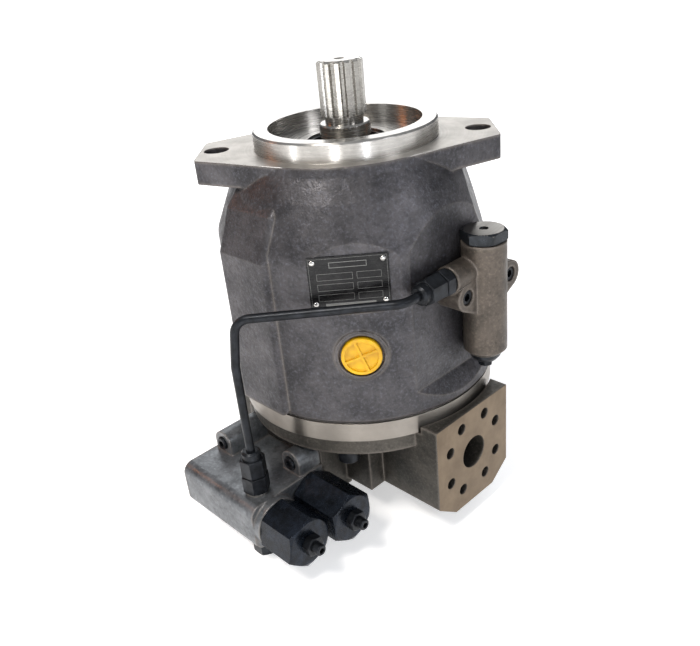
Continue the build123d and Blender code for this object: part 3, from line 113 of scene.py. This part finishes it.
def start(name):
    """A new material with its Principled shader and Object coordinates."""
    material = bpy.data.materials.new(name)
    material.use_nodes = True
    tree = material.node_tree
    tree.nodes.clear()
    shader = add(tree, "BsdfPrincipled")
    add(tree, "OutputMaterial", links={"Surface": shader})
    place = add(tree, "TexCoord").outputs["Object"]
    return material, tree, shader, place


def cloud(tree, place, size_mm, detail, rough, reach, to=(0.0, 1.0)):
    """Patches about size_mm across: the noise's values within reach are stretched to run over to."""
    settings = {"Scale": 1 / (size_mm * MM), "Detail": detail, "Roughness": rough}
    noise = add(tree, "TexNoise", settings, {"Vector": place})
    settings = {"From Min": reach[0], "From Max": reach[1], "To Min": to[0], "To Max": to[1]}
    return add(tree, "MapRange", settings, {"Value": noise})


def skin(tree, place, size_mm, detail, rough, strength, depth_mm, under=None):
    """Normals of a skin whose grains are about size_mm across, laid over the normals under it."""
    settings = {"Scale": 1 / (size_mm * MM), "Detail": detail, "Roughness": rough}
    noise = add(tree, "TexNoise", settings, {"Vector": place})
    links = {"Height": noise, "Normal": under} if under else {"Height": noise}
    return add(tree, "Bump", {"Strength": strength, "Distance": depth_mm * MM}, links)


def edge_wear(tree, radius_mm, most):
    """Most on the edges, where a corner of radius_mm would be rubbed, and 0 away from them."""
    flat = add(tree, "NewGeometry").outputs["True Normal"]
    rounded = add(tree, "Bevel", {"samples": 6, "Radius": radius_mm * MM})
    agree = add(tree, "VectorMath", {"operation": "DOT_PRODUCT"}, {0: flat, 1: rounded}).outputs["Value"]
    return add(tree, "MapRange", {"From Min": 0.995, "From Max": 0.86, "To Max": most}, {"Value": agree})


def around_shaft(tree, place):
    """Coordinates (distance from the shaft's axis, 0, height), so that a pattern follows a cutting tool."""
    split = add(tree, "SeparateXYZ", links={"Vector": place})
    flat = add(tree, "CombineXYZ", links={"X": split.outputs["X"], "Y": split.outputs["Y"]})
    distance = add(tree, "VectorMath", {"operation": "LENGTH"}, {0: flat}).outputs["Value"]
    return add(tree, "CombineXYZ", links={"X": distance, "Z": split.outputs["Z"]})


# ---- materials ----------------------------------------------------------------------------------
def sand_cast_iron(name, base, light, glint, roughness=0.42, grit_mm=2.0, depth_mm=0.5, metallic=0.6):
    """Grey iron cast in sand: pebbled, its high grains given a painted blue-grey highlight, mottled by oil,
    rubbed at its edges.

    The real grit is 0.3 to 0.6 mm; it is drawn at grit_mm so that it shows.
    """
    material, tree, shader, place = start(name)
    mottle = cloud(tree, place, 34, 4, 0.6, (0.38, 0.64))
    # Painted highlight: random specks, pushed towards the glint colour, stand for light caught by raised
    # grains.
    painted_glint_specks = cloud(tree, place, grit_mm, 4, 0.7, (0.5, 0.72), (0, 0.42))
    pits = cloud(tree, place, grit_mm * 1.7, 3, 0.6, (0.5, 0.3), (0, 0.35))
    settings = {"data_type": "RGBA", "A": linear(base), "B": linear(light)}
    oiled = add(tree, "Mix", settings, {"Factor": mottle})
    # raised: the mottled colour with the painted highlight specks laid over it.
    raised = add(tree, "Mix", {"data_type": "RGBA", "B": linear(glint)}, {"Factor": painted_glint_specks, "A": oiled})
    pitted = add(tree, "Mix", {"data_type": "RGBA", "B": linear("#1b1b1d")}, {"Factor": pits, "A": raised})
    links = {"Factor": edge_wear(tree, 4.0, 0.5), "A": pitted}
    worn = add(tree, "Mix", {"data_type": "RGBA", "B": linear("#8d857d")}, links)
    gloss = cloud(tree, place, 9, 4, 0.6, (0.3, 0.7), (roughness - 0.1, roughness + 0.14))
    broken_edges = add(tree, "Bevel", {"samples": 6, "Radius": 1.6 * MM})
    pebbles = skin(tree, place, grit_mm * 1.6, 4, 0.65, 0.9, depth_mm, broken_edges)
    grit = skin(tree, place, grit_mm * 0.7, 2, 0.5, 0.6, depth_mm * 0.5, pebbles)
    set_up(shader, {"Metallic": metallic}, {"Base Color": worn, "Roughness": gloss, "Normal": grit})
    return material


def turned_steel(name, base, roughness=0.28, mark_mm=1.1, depth_mm=0.012):
    """Steel or iron cut on a lathe: fine rings about the shaft's axis draw the highlights out across them.

    The real feed marks are about 0.2 mm apart; they are drawn at mark_mm so that they show.
    """
    material, tree, shader, place = start(name)
    path = around_shaft(tree, place)
    stain = cloud(tree, place, 14, 3, 0.6, (0.4, 0.7), (0, 0.4))
    settings = {"data_type": "RGBA", "A": linear(base), "B": linear("#7d7974")}
    tone = add(tree, "Mix", settings, {"Factor": stain})
    gloss = cloud(tree, path, mark_mm, 2, 0.6, (0.3, 0.7), (roughness - 0.05, roughness + 0.09))
    broken_edges = add(tree, "Bevel", {"samples": 6, "Radius": 0.5 * MM})
    rings = skin(tree, path, mark_mm, 2, 0.6, 0.15, depth_mm, broken_edges)
    turn = add(tree, "Tangent", {"direction_type": "RADIAL", "axis": "Z"})
    settings = {"Metallic": 1.0, "Anisotropic": 0.7, "Anisotropic Rotation": 0.25}
    set_up(shader, settings, {"Base Color": tone, "Roughness": gloss, "Normal": rings, "Tangent": turn})
    return material


def faced_iron(name, base, light, roughness=0.46):
    """Iron faced on a lathe and handled since: a matt light grey with faint rings and thumbed stains.

    The real feed marks are about 0.2 mm apart; they are drawn at 1.2 mm so that they show.
    """
    material, tree, shader, place = start(name)
    path = around_shaft(tree, place)
    stain = cloud(tree, place, 22, 4, 0.6, (0.35, 0.65))
    settings = {"data_type": "RGBA", "A": linear(base), "B": linear(light)}
    tone = add(tree, "Mix", settings, {"Factor": stain})
    gloss = cloud(tree, path, 1.2, 2, 0.6, (0.3, 0.7), (roughness - 0.06, roughness + 0.1))
    broken_edges = add(tree, "Bevel", {"samples": 6, "Radius": 0.6 * MM})
    rings = skin(tree, path, 1.2, 2, 0.6, 0.3, 0.012, broken_edges)
    set_up(shader, {"Metallic": 0.8}, {"Base Color": tone, "Roughness": gloss, "Normal": rings})
    return material


def milled_iron(name, base, light):
    """Iron faced by a milling cutter: long shallow arcs across a warm grey face.

    A cutter's marks are 0.2 to 0.5 mm apart; they are drawn several times as far apart so that they show.
    """
    material, tree, shader, place = start(name)
    settings = {"Location": (0, 0.14, 0.19), "Scale": (0.05, 1, 1)}
    centred = add(tree, "Mapping", settings, {"Vector": place})
    settings = {"wave_type": "RINGS", "rings_direction": "X"}
    settings |= {"Scale": 220.0, "Distortion": 1.2, "Detail": 2.0}
    arcs = add(tree, "TexWave", settings, {"Vector": centred}).outputs["Fac"]
    patches = cloud(tree, place, 16, 4, 0.6, (0.3, 0.7))
    settings = {"data_type": "RGBA", "A": linear(base), "B": linear(light)}
    tone = add(tree, "Mix", settings, {"Factor": patches})
    gloss = add(tree, "MapRange", {"To Min": 0.34, "To Max": 0.5}, {"Value": arcs})
    broken_edges = add(tree, "Bevel", {"samples": 6, "Radius": 0.5 * MM})
    settings = {"Strength": 0.22, "Distance": 0.03 * MM}
    marks = add(tree, "Bump", settings, {"Height": arcs, "Normal": broken_edges})
    set_up(shader, {"Metallic": 0.75}, {"Base Color": tone, "Roughness": gloss, "Normal": marks})
    return material


def black_oxide(name, base="#141619", light="#2b2e33", roughness=0.34):
    """Hot-blackened steel: nearly black, with a soft oily gloss and lighter patches from handling.

    The oxide's own crystals are finer than the eye sees; the skin is drawn at 0.9 mm so that it shows.
    """
    material, tree, shader, place = start(name)
    handled = cloud(tree, place, 7, 4, 0.6, (0.35, 0.7))
    settings = {"data_type": "RGBA", "A": linear(base), "B": linear(light)}
    tone = add(tree, "Mix", settings, {"Factor": handled})
    gloss = cloud(tree, place, 2.5, 3, 0.6, (0.3, 0.7), (roughness - 0.06, roughness + 0.12))
    broken_edges = add(tree, "Bevel", {"samples": 6, "Radius": 0.5 * MM})
    crystals = skin(tree, place, 0.9, 2, 0.5, 0.2, 0.04, broken_edges)
    set_up(shader, {"Metallic": 0.65}, {"Base Color": tone, "Roughness": gloss, "Normal": crystals})
    return material


def ground_steel(name, base, roughness=0.28):
    """Hardened and ground steel of the running pieces, with a thin oil film.

    Grinding leaves scratches under 0.1 mm apart; they are drawn as a skin of 0.8 mm so that they show.
    """
    material, tree, shader, place = start(name)
    film = cloud(tree, place, 12, 3, 0.5, (0.3, 0.7), (0, 0.5))
    settings = {"data_type": "RGBA", "A": linear(base), "B": linear("#6f6d69")}
    tone = add(tree, "Mix", settings, {"Factor": film})
    gloss = cloud(tree, place, 1.2, 3, 0.6, (0.3, 0.7), (roughness - 0.05, roughness + 0.1))
    broken_edges = add(tree, "Bevel", {"samples": 6, "Radius": 0.3 * MM})
    scratches = skin(tree, place, 0.8, 2, 0.5, 0.12, 0.02, broken_edges)
    set_up(shader, {"Metallic": 1.0}, {"Base Color": tone, "Roughness": gloss, "Normal": scratches})
    return material


def moulded_polythene(name, base):
    """Soft moulded polythene: even colour that lets a little light in, with a faint flow pattern.

    The mould's spark texture is about 0.2 mm; it is drawn at 1.1 mm so that it shows.
    """
    material, tree, shader, place = start(name)
    flow = cloud(tree, place, 8, 2, 0.5, (0.3, 0.7))
    settings = {"data_type": "RGBA", "A": linear(base), "B": linear("#c89600")}
    tone = add(tree, "Mix", settings, {"Factor": flow})
    broken_edges = add(tree, "Bevel", {"samples": 6, "Radius": 0.6 * MM})
    texture = skin(tree, place, 1.1, 2, 0.5, 0.15, 0.05, broken_edges)
    settings = {"Roughness": 0.42, "IOR": 1.51}
    settings |= {"Subsurface Weight": 0.12, "Subsurface Radius": (0.004, 0.002, 0.0005)}
    set_up(shader, settings, {"Base Color": tone, "Normal": texture})
    return material


def nitrile_rubber(name, base):
    """Moulded rubber: matt and slightly powdery; its fine bloom is drawn at 0.9 mm so that it shows."""
    material, tree, shader, place = start(name)
    bloom = cloud(tree, place, 3, 3, 0.6, (0.3, 0.7))
    settings = {"data_type": "RGBA", "A": linear(base), "B": linear("#26262a")}
    tone = add(tree, "Mix", settings, {"Factor": bloom})
    powder = skin(tree, place, 0.9, 2, 0.5, 0.2, 0.04)
    set_up(shader, {"Roughness": 0.62, "IOR": 1.52}, {"Base Color": tone, "Normal": powder})
    return material


def anodised_sheet(name, base, roughness, metallic=0.4):
    """Anodised aluminium sheet: even, with a grain rolled along its length.

    The real grain is finer than 0.1 mm; it is drawn at 0.8 mm so that it shows.
    """
    material, tree, shader, place = start(name)
    along = add(tree, "Mapping", {"Scale": (0.12, 0.12, 1.0)}, {"Vector": place})
    dust = cloud(tree, place, 9, 4, 0.65, (0.5, 0.8), (0, 0.12))
    settings = {"data_type": "RGBA", "A": linear(base), "B": linear("#6b6a68")}
    tone = add(tree, "Mix", settings, {"Factor": dust})
    gloss = cloud(tree, along, 0.8, 2, 0.5, (0.3, 0.7), (roughness - 0.05, roughness + 0.08))
    rolled = skin(tree, along, 0.8, 2, 0.5, 0.05, 0.01)
    set_up(shader, {"Metallic": metallic}, {"Base Color": tone, "Roughness": gloss, "Normal": rolled})
    return material


# ---- dressing the frame's nodes -----------------------------------------------------------------
def dress(names, *materials, pick=None):
    """Gives nodes their materials; pick(centre, normal) returns the index of a face's material."""
    for name in names:
        mesh = NODES[name].data
        mesh.materials.clear()
        for material in materials:
            mesh.materials.append(material)
        for face in mesh.polygons:
            face.material_index = pick(face.center, face.normal) if pick else 0


def piece(name, bm, material, body, smooth=False):
    """Turns a bmesh into a finished piece that rides on a body."""
    mesh = bpy.data.meshes.new(name)
    bm.to_mesh(mesh)
    bm.free()
    mesh.materials.append(material)
    mesh.polygons.foreach_set("use_smooth", [smooth] * len(mesh.polygons))
    obj = bpy.data.objects.new(name, mesh)
    bpy.context.scene.collection.objects.link(obj)
    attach(obj, body)
    return obj


class PumpFinish(bpy.types.PropertyGroup):
    cast_colour: StringProperty(name="Casting", description="Dark tone of the housing", default="#363537")
    cast_light: StringProperty(name="Casting light", description="Its light tone", default="#535153")
    # Colour of the painted highlight on the casting's raised grains.
    cast_painted_glint: StringProperty(name="Casting glint", description="Tone of raised grains", default="#74757f")
    port_colour: StringProperty(name="Port face", description="Tone of the milled faces", default="#665745")
    plug_colour: StringProperty(name="Drain plug", description="Colour of the plugs", default="#e6b400")


class PumpDetail(bpy.types.PropertyGroup):
    field_line: FloatProperty(
        name="Field line", description="Width of the nameplate's lines",
        default=0.22 * MM, unit="LENGTH", precision=5,
    )
    field_height: FloatProperty(
        name="Print height", description="How far the lines stand off the nameplate",
        default=0.06 * MM, unit="LENGTH", precision=5,
    )
    thread_pitch: FloatProperty(
        name="Thread pitch", description="Pitch of the adjusting screws' threads",
        default=1.0 * MM, unit="LENGTH", precision=5,
    )
    thread_steps: IntProperty(
        name="Thread steps", description="Steps in one turn of a thread", default=24, min=8,
    )


class PumpStage(bpy.types.PropertyGroup):
    lens: FloatProperty(
        name="Lens", description="Focal length on the camera's sensor", default=39.34, unit="CAMERA",
    )
    place: FloatVectorProperty(
        name="Camera place", description="Where the camera stands", size=3,
        default=(0.3845, -0.3620, 0.1223), subtype="TRANSLATION", unit="LENGTH",
    )
    azimuth: FloatProperty(
        name="Azimuth", description="Direction the camera stands in",
        default=math.radians(47.83), subtype="ANGLE", unit="ROTATION",
    )
    elevation: FloatProperty(
        name="Elevation", description="How steeply the camera looks down",
        default=math.radians(26.54), subtype="ANGLE", unit="ROTATION",
    )
    roll: FloatProperty(
        name="Roll", description="Lean of the camera",
        default=math.radians(-5.78), subtype="ANGLE", unit="ROTATION",
    )


# ---- operators ----------------------------------------------------------------------------------
class PUMP_OT_castings(bpy.types.Operator):
    """Sand-cast housing, port plate and valve bodies with their machined faces"""
    bl_idname = "pump.castings"
    bl_label = "Castings"

    def execute(self, context):
        finish = context.scene.pump_finish
        # In each sand_cast_iron, the colour after the light tone is the painted highlight on the raised
        # grains.
        cast = sand_cast_iron("grey_iron_sand_cast", finish.cast_colour, finish.cast_light, finish.cast_painted_glint)
        turned = turned_steel("grey_iron_turned", "#c2bfba", 0.26)
        faced = faced_iron("grey_iron_faced", "#a19d97", "#bbb7b1")
        band = turned_steel("grey_iron_turned_band", "#98928a", 0.34)
        milled = milled_iron("grey_iron_milled", finish.port_colour, "#7d6d59")
        plate_cast = sand_cast_iron("grey_iron_port_plate", "#35332f", "#4e4a44", "#77736b", 0.44, 2.0, 0.3)

        def housing_face(centre, normal):
            """3 on the flange's face, 1 on the pilot ring above it, 2 on the band at the foot, 0 as cast."""
            if centre.z > -SKIN:
                return 3 if centre.z < SKIN and normal.z > 0.9 else 1
            return 2 if centre.z < RING_TOP_Z else 0

        def port_face(centre, normal):
            """1 on both port faces, 0 as cast."""
            return 1 if abs(centre.x) > PORT_FACE_X - SKIN else 0

        dress(["housing"], cast, turned, band, faced, pick=housing_face)
        dress(["port_plate"], plate_cast, milled, pick=port_face)
        # Here too, the colour after the light tone is the painted highlight on the raised grains.
        fine = sand_cast_iron("valve_iron_fine_cast", "#64676a", "#7c7f82", "#9c9fa3", 0.38, 2.4, 0.1, 0.7)
        dress(["control_valve_body"], fine)
        brown = sand_cast_iron("power_valve_iron", "#48423c", "#5d554d", "#85796c", 0.42, 2.0, 0.2, 0.6)
        dress(["power_valve_body"], brown)
        dress(["housing_gasket"], nitrile_rubber("gasket_sheet", "#1d1d1f"))
        return {"FINISHED"}


class PUMP_OT_drive(bpy.types.Operator):
    """Splined shaft, its seal and the retaining ring"""
    bl_idname = "pump.drive"
    bl_label = "Drive end"

    def execute(self, context):
        dress(["drive_shaft"], turned_steel("alloy_steel_turned", "#b3b0aa", 0.24))
        dress(["shaft_seal"], nitrile_rubber("nitrile_seal", "#121214"))
        dress(["seal_retaining_ring"], black_oxide("spring_steel_blackened"))
        return {"FINISHED"}


class PUMP_OT_running_group(bpy.types.Operator):
    """Pistons, slippers, cylinder block, swash plate, bearings and springs inside the housing"""
    bl_idname = "pump.running_group"
    bl_label = "Running group"

    def execute(self, context):
        steel = ground_steel("bearing_steel_ground", "#a9a8a5")
        bronze = ground_steel("bronze_turned", "#b08a4e", 0.34)
        bronze_nodes = [name for name in NODES if name.startswith("slipper_")]
        bronze_nodes += ["cradle_bearings", "valve_plate"]
        steel_nodes = [name for name in NODES if name.startswith("piston_")]
        steel_nodes += ["cylinder_block", "guide_ball", "block_spring", "retaining_plate", "swash_plate"]
        steel_nodes += ["stroking_piston", "bias_piston", "bias_spring", "power_valve_spool"]
        steel_nodes += ["bearing_inner_races", "bearing_outer_races"]
        steel_nodes += ["front_bearing_rollers", "rear_bearing_rollers"]
        for side in ("pressure", "flow"):
            steel_nodes += [f"{side}_spool", f"{side}_spring", f"{side}_spring_seat"]
        dress(bronze_nodes, bronze)
        dress(steel_nodes, steel)
        return {"FINISHED"}


class PUMP_OT_fittings(bpy.types.Operator):
    """Caps, plugs, screws, nuts and the pilot tube"""
    bl_idname = "pump.fittings"
    bl_label = "Fittings and tube"

    def execute(self, context):
        black = black_oxide("steel_blackened")
        blue_black = black_oxide("steel_blackened_cap", "#0d1117", "#222934", 0.24)
        bright = turned_steel("zinc_steel", "#8f8c87", 0.36)
        dark_steel = black_oxide("steel_dark", "#1c1f22", "#34383d", 0.3)
        dress(["spring_caps"], blue_black)
        dress(["lock_nuts", "port_plate_bolts", "valve_bolts", "power_valve_adjuster", "pilot_tube"], black)
        dress(["pressure_adjusting_screw", "flow_adjusting_screw"], black)
        plug_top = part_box("valve_plugs")[1].z - PLUG_TOP_DEPTH
        collar_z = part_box("spring_caps")[1].z + COLLAR_ABOVE_CAPS

        def plug_face(centre, normal):
            """1 on the flat top of the highest plug."""
            return 1 if centre.z > plug_top and normal.z > 0.9 else 0

        def union_face(centre, normal):
            """1 on the collar of the lower fitting, which stands on the valve."""
            return 1 if centre.y < LOWER_FITTING_Y and abs(centre.z - collar_z) < COLLAR_HALF else 0

        dress(["valve_plugs"], dark_steel, bright, pick=plug_face)
        dress(["tube_unions"], black, bright, pick=union_face)
        return {"FINISHED"}


class PUMP_OT_screw_threads(bpy.types.Operator):
    """Threads on the standing ends of both adjusting screws"""
    bl_idname = "pump.screw_threads"
    bl_label = "Adjusting screw threads"

    def execute(self, context):
        detail = context.scene.pump_detail
        black = bpy.data.materials["steel_blackened"]
        pitch, steps = detail.thread_pitch, detail.thread_steps
        for side in ("pressure", "flow"):
            low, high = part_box(f"{side}_adjusting_screw")
            radius = (high.y - low.y) / 2
            middle_y, middle_z = (low.y + high.y) / 2, (low.z + high.z) / 2
            first_x = high.x - SCREW_THREAD_LENGTH
            bm = bmesh.new()
            verts = []
            for along, out in THREAD_SECTION:
                corner = (first_x + along * pitch, middle_y, middle_z + radius + out * pitch)
                verts.append(bm.verts.new(corner))
            face = bm.faces.new(verts)
            bmesh.ops.spin(
                bm, geom=[face, *face.edges, *face.verts], cent=(0, middle_y, middle_z), axis=(1, 0, 0),
                dvec=(pitch / steps, 0, 0), angle=math.tau * SCREW_THREAD_TURNS,
                steps=steps * SCREW_THREAD_TURNS, use_merge=False,
            )
            bmesh.ops.remove_doubles(bm, verts=bm.verts, dist=1e-7)
            bmesh.ops.recalc_face_normals(bm, faces=bm.faces)
            piece(f"{side}_screw_thread", bm, black, f"{side}_screw")
        return {"FINISHED"}


class PUMP_OT_drain_plugs(bpy.types.Operator):
    """Moulded yellow plugs in both drain ports"""
    bl_idname = "pump.drain_plugs"
    bl_label = "Drain plugs"

    def execute(self, context):
        dress(["drain_plugs"], moulded_polythene("polythene_yellow", context.scene.pump_finish.plug_colour))
        return {"FINISHED"}


class PUMP_OT_nameplate(bpy.types.Operator):
    """Black nameplate with rivets, a printed border and blank fields"""
    bl_idname = "pump.nameplate"
    bl_label = "Nameplate"

    def execute(self, context):
        detail = context.scene.pump_detail
        dress(["nameplate"], anodised_sheet("aluminium_black_anodised", "#08080a", 0.26))
        dress(["nameplate_rivets"], turned_steel("aluminium_rivet", "#d8d6d2", 0.22))
        silver = anodised_sheet("aluminium_print", "#6f6f6d", 0.4, 0.6)
        low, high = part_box("nameplate")
        out = Vector((1, -1, 0)).normalized()
        across = Vector((1, 1, 0)).normalized()
        height = high.z - low.z
        plate = NODES["nameplate"].data
        front = [face for face in plate.polygons if face.normal.dot(out) > PLATE_FRONT]
        face_distance = sum(face.center.dot(out) for face in front) / len(front)
        sides = [vertex.co.dot(across) for vertex in plate.vertices]
        width, middle = max(sides) - min(sides), (max(sides) + min(sides)) / 2
        centre = out * face_distance + across * middle + AXIS_Z * (low.z + high.z) / 2
        turn = Matrix((across, AXIS_Z, out)).transposed().to_4x4()
        bm = bmesh.new()

        def frame_line(x, y, wide, tall, thick):
            """Outline of a rectangle, centred on (x, y) of the plate, with lines of this thickness."""
            made = bmesh.ops.create_grid(bm, x_segments=1, y_segments=1, size=0.5)["verts"]
            bmesh.ops.scale(bm, verts=made, vec=(wide, tall, 1))
            bmesh.ops.translate(bm, verts=made, vec=(x, y, 0))
            outer = made[0].link_faces[0]
            bmesh.ops.inset_region(
                bm, faces=[outer], thickness=thick, use_boundary=True, use_even_offset=True,
            )
            bmesh.ops.delete(bm, geom=[outer], context="FACES_ONLY")

        line = detail.field_line
        frame_line(0, 0, width - 2.2 * MM, height - 2.2 * MM, line * 0.8)
        for row in range(3):
            y = height * (0.12 - 0.2 * row)
            frame_line(-width * 0.17, y, width * 0.44, height * 0.13, line)
            frame_line(width * 0.25, y, width * 0.3, height * 0.13, line)
        frame_line(0, height * 0.34, width * 0.46, height * 0.11, line * 2)
        frame_line(0, -height * 0.42, width * 0.62, height * 0.05, height * 0.024)
        raised = bmesh.ops.extrude_face_region(bm, geom=bm.faces[:])["geom"]
        lifted = [part for part in raised if isinstance(part, bmesh.types.BMVert)]
        bmesh.ops.translate(bm, verts=lifted, vec=(0, 0, detail.field_height))
        bmesh.ops.recalc_face_normals(bm, faces=bm.faces)
        bmesh.ops.transform(bm, matrix=Matrix.Translation(centre) @ turn, verts=bm.verts)
        piece("nameplate_print", bm, silver, "pump")
        return {"FINISHED"}


# name, place from the middle of the pump, width, height, power and colour
LIGHTS = [
    ("key", (0.15, -0.85, 1.25), 0.35, 0.35, 14.0, "#fffaf4"),
    ("fill", (1.4, 0.25, 0.7), 0.35, 0.35, 5.0, "#f4f7ff"),
    ("back", (-1.1, 1.05, 0.85), 1.3, 1.3, 11.0, "#ffffff"),
    ("warm_side", (-1.2, -0.7, 0.7), 0.25, 0.25, 1.2, "#ff9c55"),
    ("front_strip", (0.50, -0.76, 0.02), 0.07, 0.55, 1.4, "#ffffff"),
    ("side_strip", (0.92, -0.34, 0.05), 0.06, 0.5, 1.0, "#f2f6ff"),
    ("left_strip", (-0.35, -1.0, 0.1), 0.08, 0.5, 1.0, "#ffffff"),
]


class PUMP_OT_stage(bpy.types.Operator):
    """Pale floor, soft lights and the camera"""
    bl_idname = "pump.stage"
    bl_label = "Stage"

    def execute(self, context):
        scene, stage = context.scene, context.scene.pump_stage
        bm = bmesh.new()
        bmesh.ops.create_grid(bm, x_segments=1, y_segments=1, size=30)
        bmesh.ops.translate(bm, verts=bm.verts, vec=(0, 0, CAD_LOW.z))
        mesh = bpy.data.meshes.new("floor")
        bm.to_mesh(mesh)
        bm.free()
        floor = bpy.data.objects.new("floor", mesh)
        scene.collection.objects.link(floor)
        material, tree, shader, place = start("matt_paper")
        patches = cloud(tree, place, 60, 2, 0.5, (0.3, 0.7))
        settings = {"data_type": "RGBA", "A": linear("#fbfbfb"), "B": linear("#f6f6f6")}
        tone = add(tree, "Mix", settings, {"Factor": patches})
        reach = add(tree, "VectorMath", {"operation": "LENGTH"}, {0: place}).outputs["Value"]
        settings = {"From Min": 0.6, "From Max": 2.5, "To Min": 0.5, "To Max": 1.0}
        glow = add(tree, "MapRange", settings, {"Value": reach})
        settings = {"Roughness": 0.9, "Emission Color": linear("#ffffff")}
        set_up(shader, settings, {"Base Color": tone, "Emission Strength": glow})
        mesh.materials.append(material)

        world = bpy.data.worlds.new("studio")
        scene.world = world
        world.use_nodes = True
        tree = world.node_tree
        tree.nodes.clear()
        direction = add(tree, "TexCoord").outputs["Generated"]
        height = add(tree, "SeparateXYZ", links={"Vector": direction}).outputs["Z"]
        lift = add(tree, "MapRange", {"From Min": 0.1, "From Max": 0.9}, {"Value": height})
        settings = {"data_type": "RGBA", "A": linear("#6d7076"), "B": linear("#e6e9ee")}
        tone = add(tree, "Mix", settings, {"Factor": lift})
        sky = add(tree, "Background", {"Strength": 0.55}, {"Color": tone})
        add(tree, "OutputWorld", links={"Surface": sky})

        middle = (CAD_LOW + CAD_HIGH) / 2
        for name, offset, width, height, power, colour in LIGHTS:
            data = bpy.data.lights.new(name, "AREA")
            data.shape, data.size, data.size_y = "RECTANGLE", width, height
            data.energy, data.color = power, linear(colour)[:3]
            lamp = bpy.data.objects.new(name, data)
            lamp.location = middle + Vector(offset)
            lamp.rotation_euler = (middle - lamp.location).to_track_quat("-Z", "Y").to_euler()
            scene.collection.objects.link(lamp)

        camera = bpy.data.cameras.new("camera")
        camera.lens, camera.sensor_width, camera.clip_start = stage.lens, 36.0, 0.01
        seat = bpy.data.objects.new("camera", camera)
        turn, tilt, lean = stage.azimuth, stage.elevation, stage.roll
        back = Vector((math.sin(turn) * math.cos(tilt), -math.cos(turn) * math.cos(tilt), math.sin(tilt)))
        level = (-back).cross(AXIS_Z).normalized()
        upright = level.cross(-back)
        right = level * math.cos(lean) + upright * math.sin(lean)
        up = upright * math.cos(lean) - level * math.sin(lean)
        seat.matrix_world = Matrix.Translation(stage.place) @ Matrix((right, up, back)).transposed().to_4x4()
        scene.collection.objects.link(seat)
        scene.camera = seat
        scene.view_settings.view_transform = "Standard"
        return {"FINISHED"}


class PUMP_PT_panel(bpy.types.Panel):
    """Sizes and colours of the pump, and the operators that make it"""
    bl_label = "Axial Piston Pump"
    bl_idname = "PUMP_PT_panel"
    bl_space_type = "VIEW_3D"
    bl_region_type = "UI"
    bl_category = "Pump"

    def draw(self, context):
        for group in (context.scene.pump_finish, context.scene.pump_detail, context.scene.pump_stage):
            column = self.layout.column(align=True)
            for key in group.bl_rna.properties.keys():
                if key not in ("rna_type", "name"):
                    column.prop(group, key)
        for operator in OPERATORS:
            self.layout.operator(operator.bl_idname)


OPERATORS = [PUMP_OT_castings, PUMP_OT_drive, PUMP_OT_running_group, PUMP_OT_fittings, PUMP_OT_screw_threads,
             PUMP_OT_drain_plugs, PUMP_OT_nameplate, PUMP_OT_stage]
GROUPS = {"pump_finish": PumpFinish, "pump_detail": PumpDetail, "pump_stage": PumpStage}


def register():
    for item in [*GROUPS.values(), *OPERATORS, PUMP_PT_panel]:
        bpy.utils.register_class(item)
    for name, group in GROUPS.items():
        setattr(bpy.types.Scene, name, PointerProperty(type=group))


def unregister():
    for name in GROUPS:
        delattr(bpy.types.Scene, name)
    for item in reversed([*GROUPS.values(), *OPERATORS, PUMP_PT_panel]):
        bpy.utils.unregister_class(item)


def main():
    register()
    for operator in OPERATORS:
        group, name = operator.bl_idname.split(".")
        getattr(getattr(bpy.ops, group), name)()


if __name__ == "__main__":
    main()
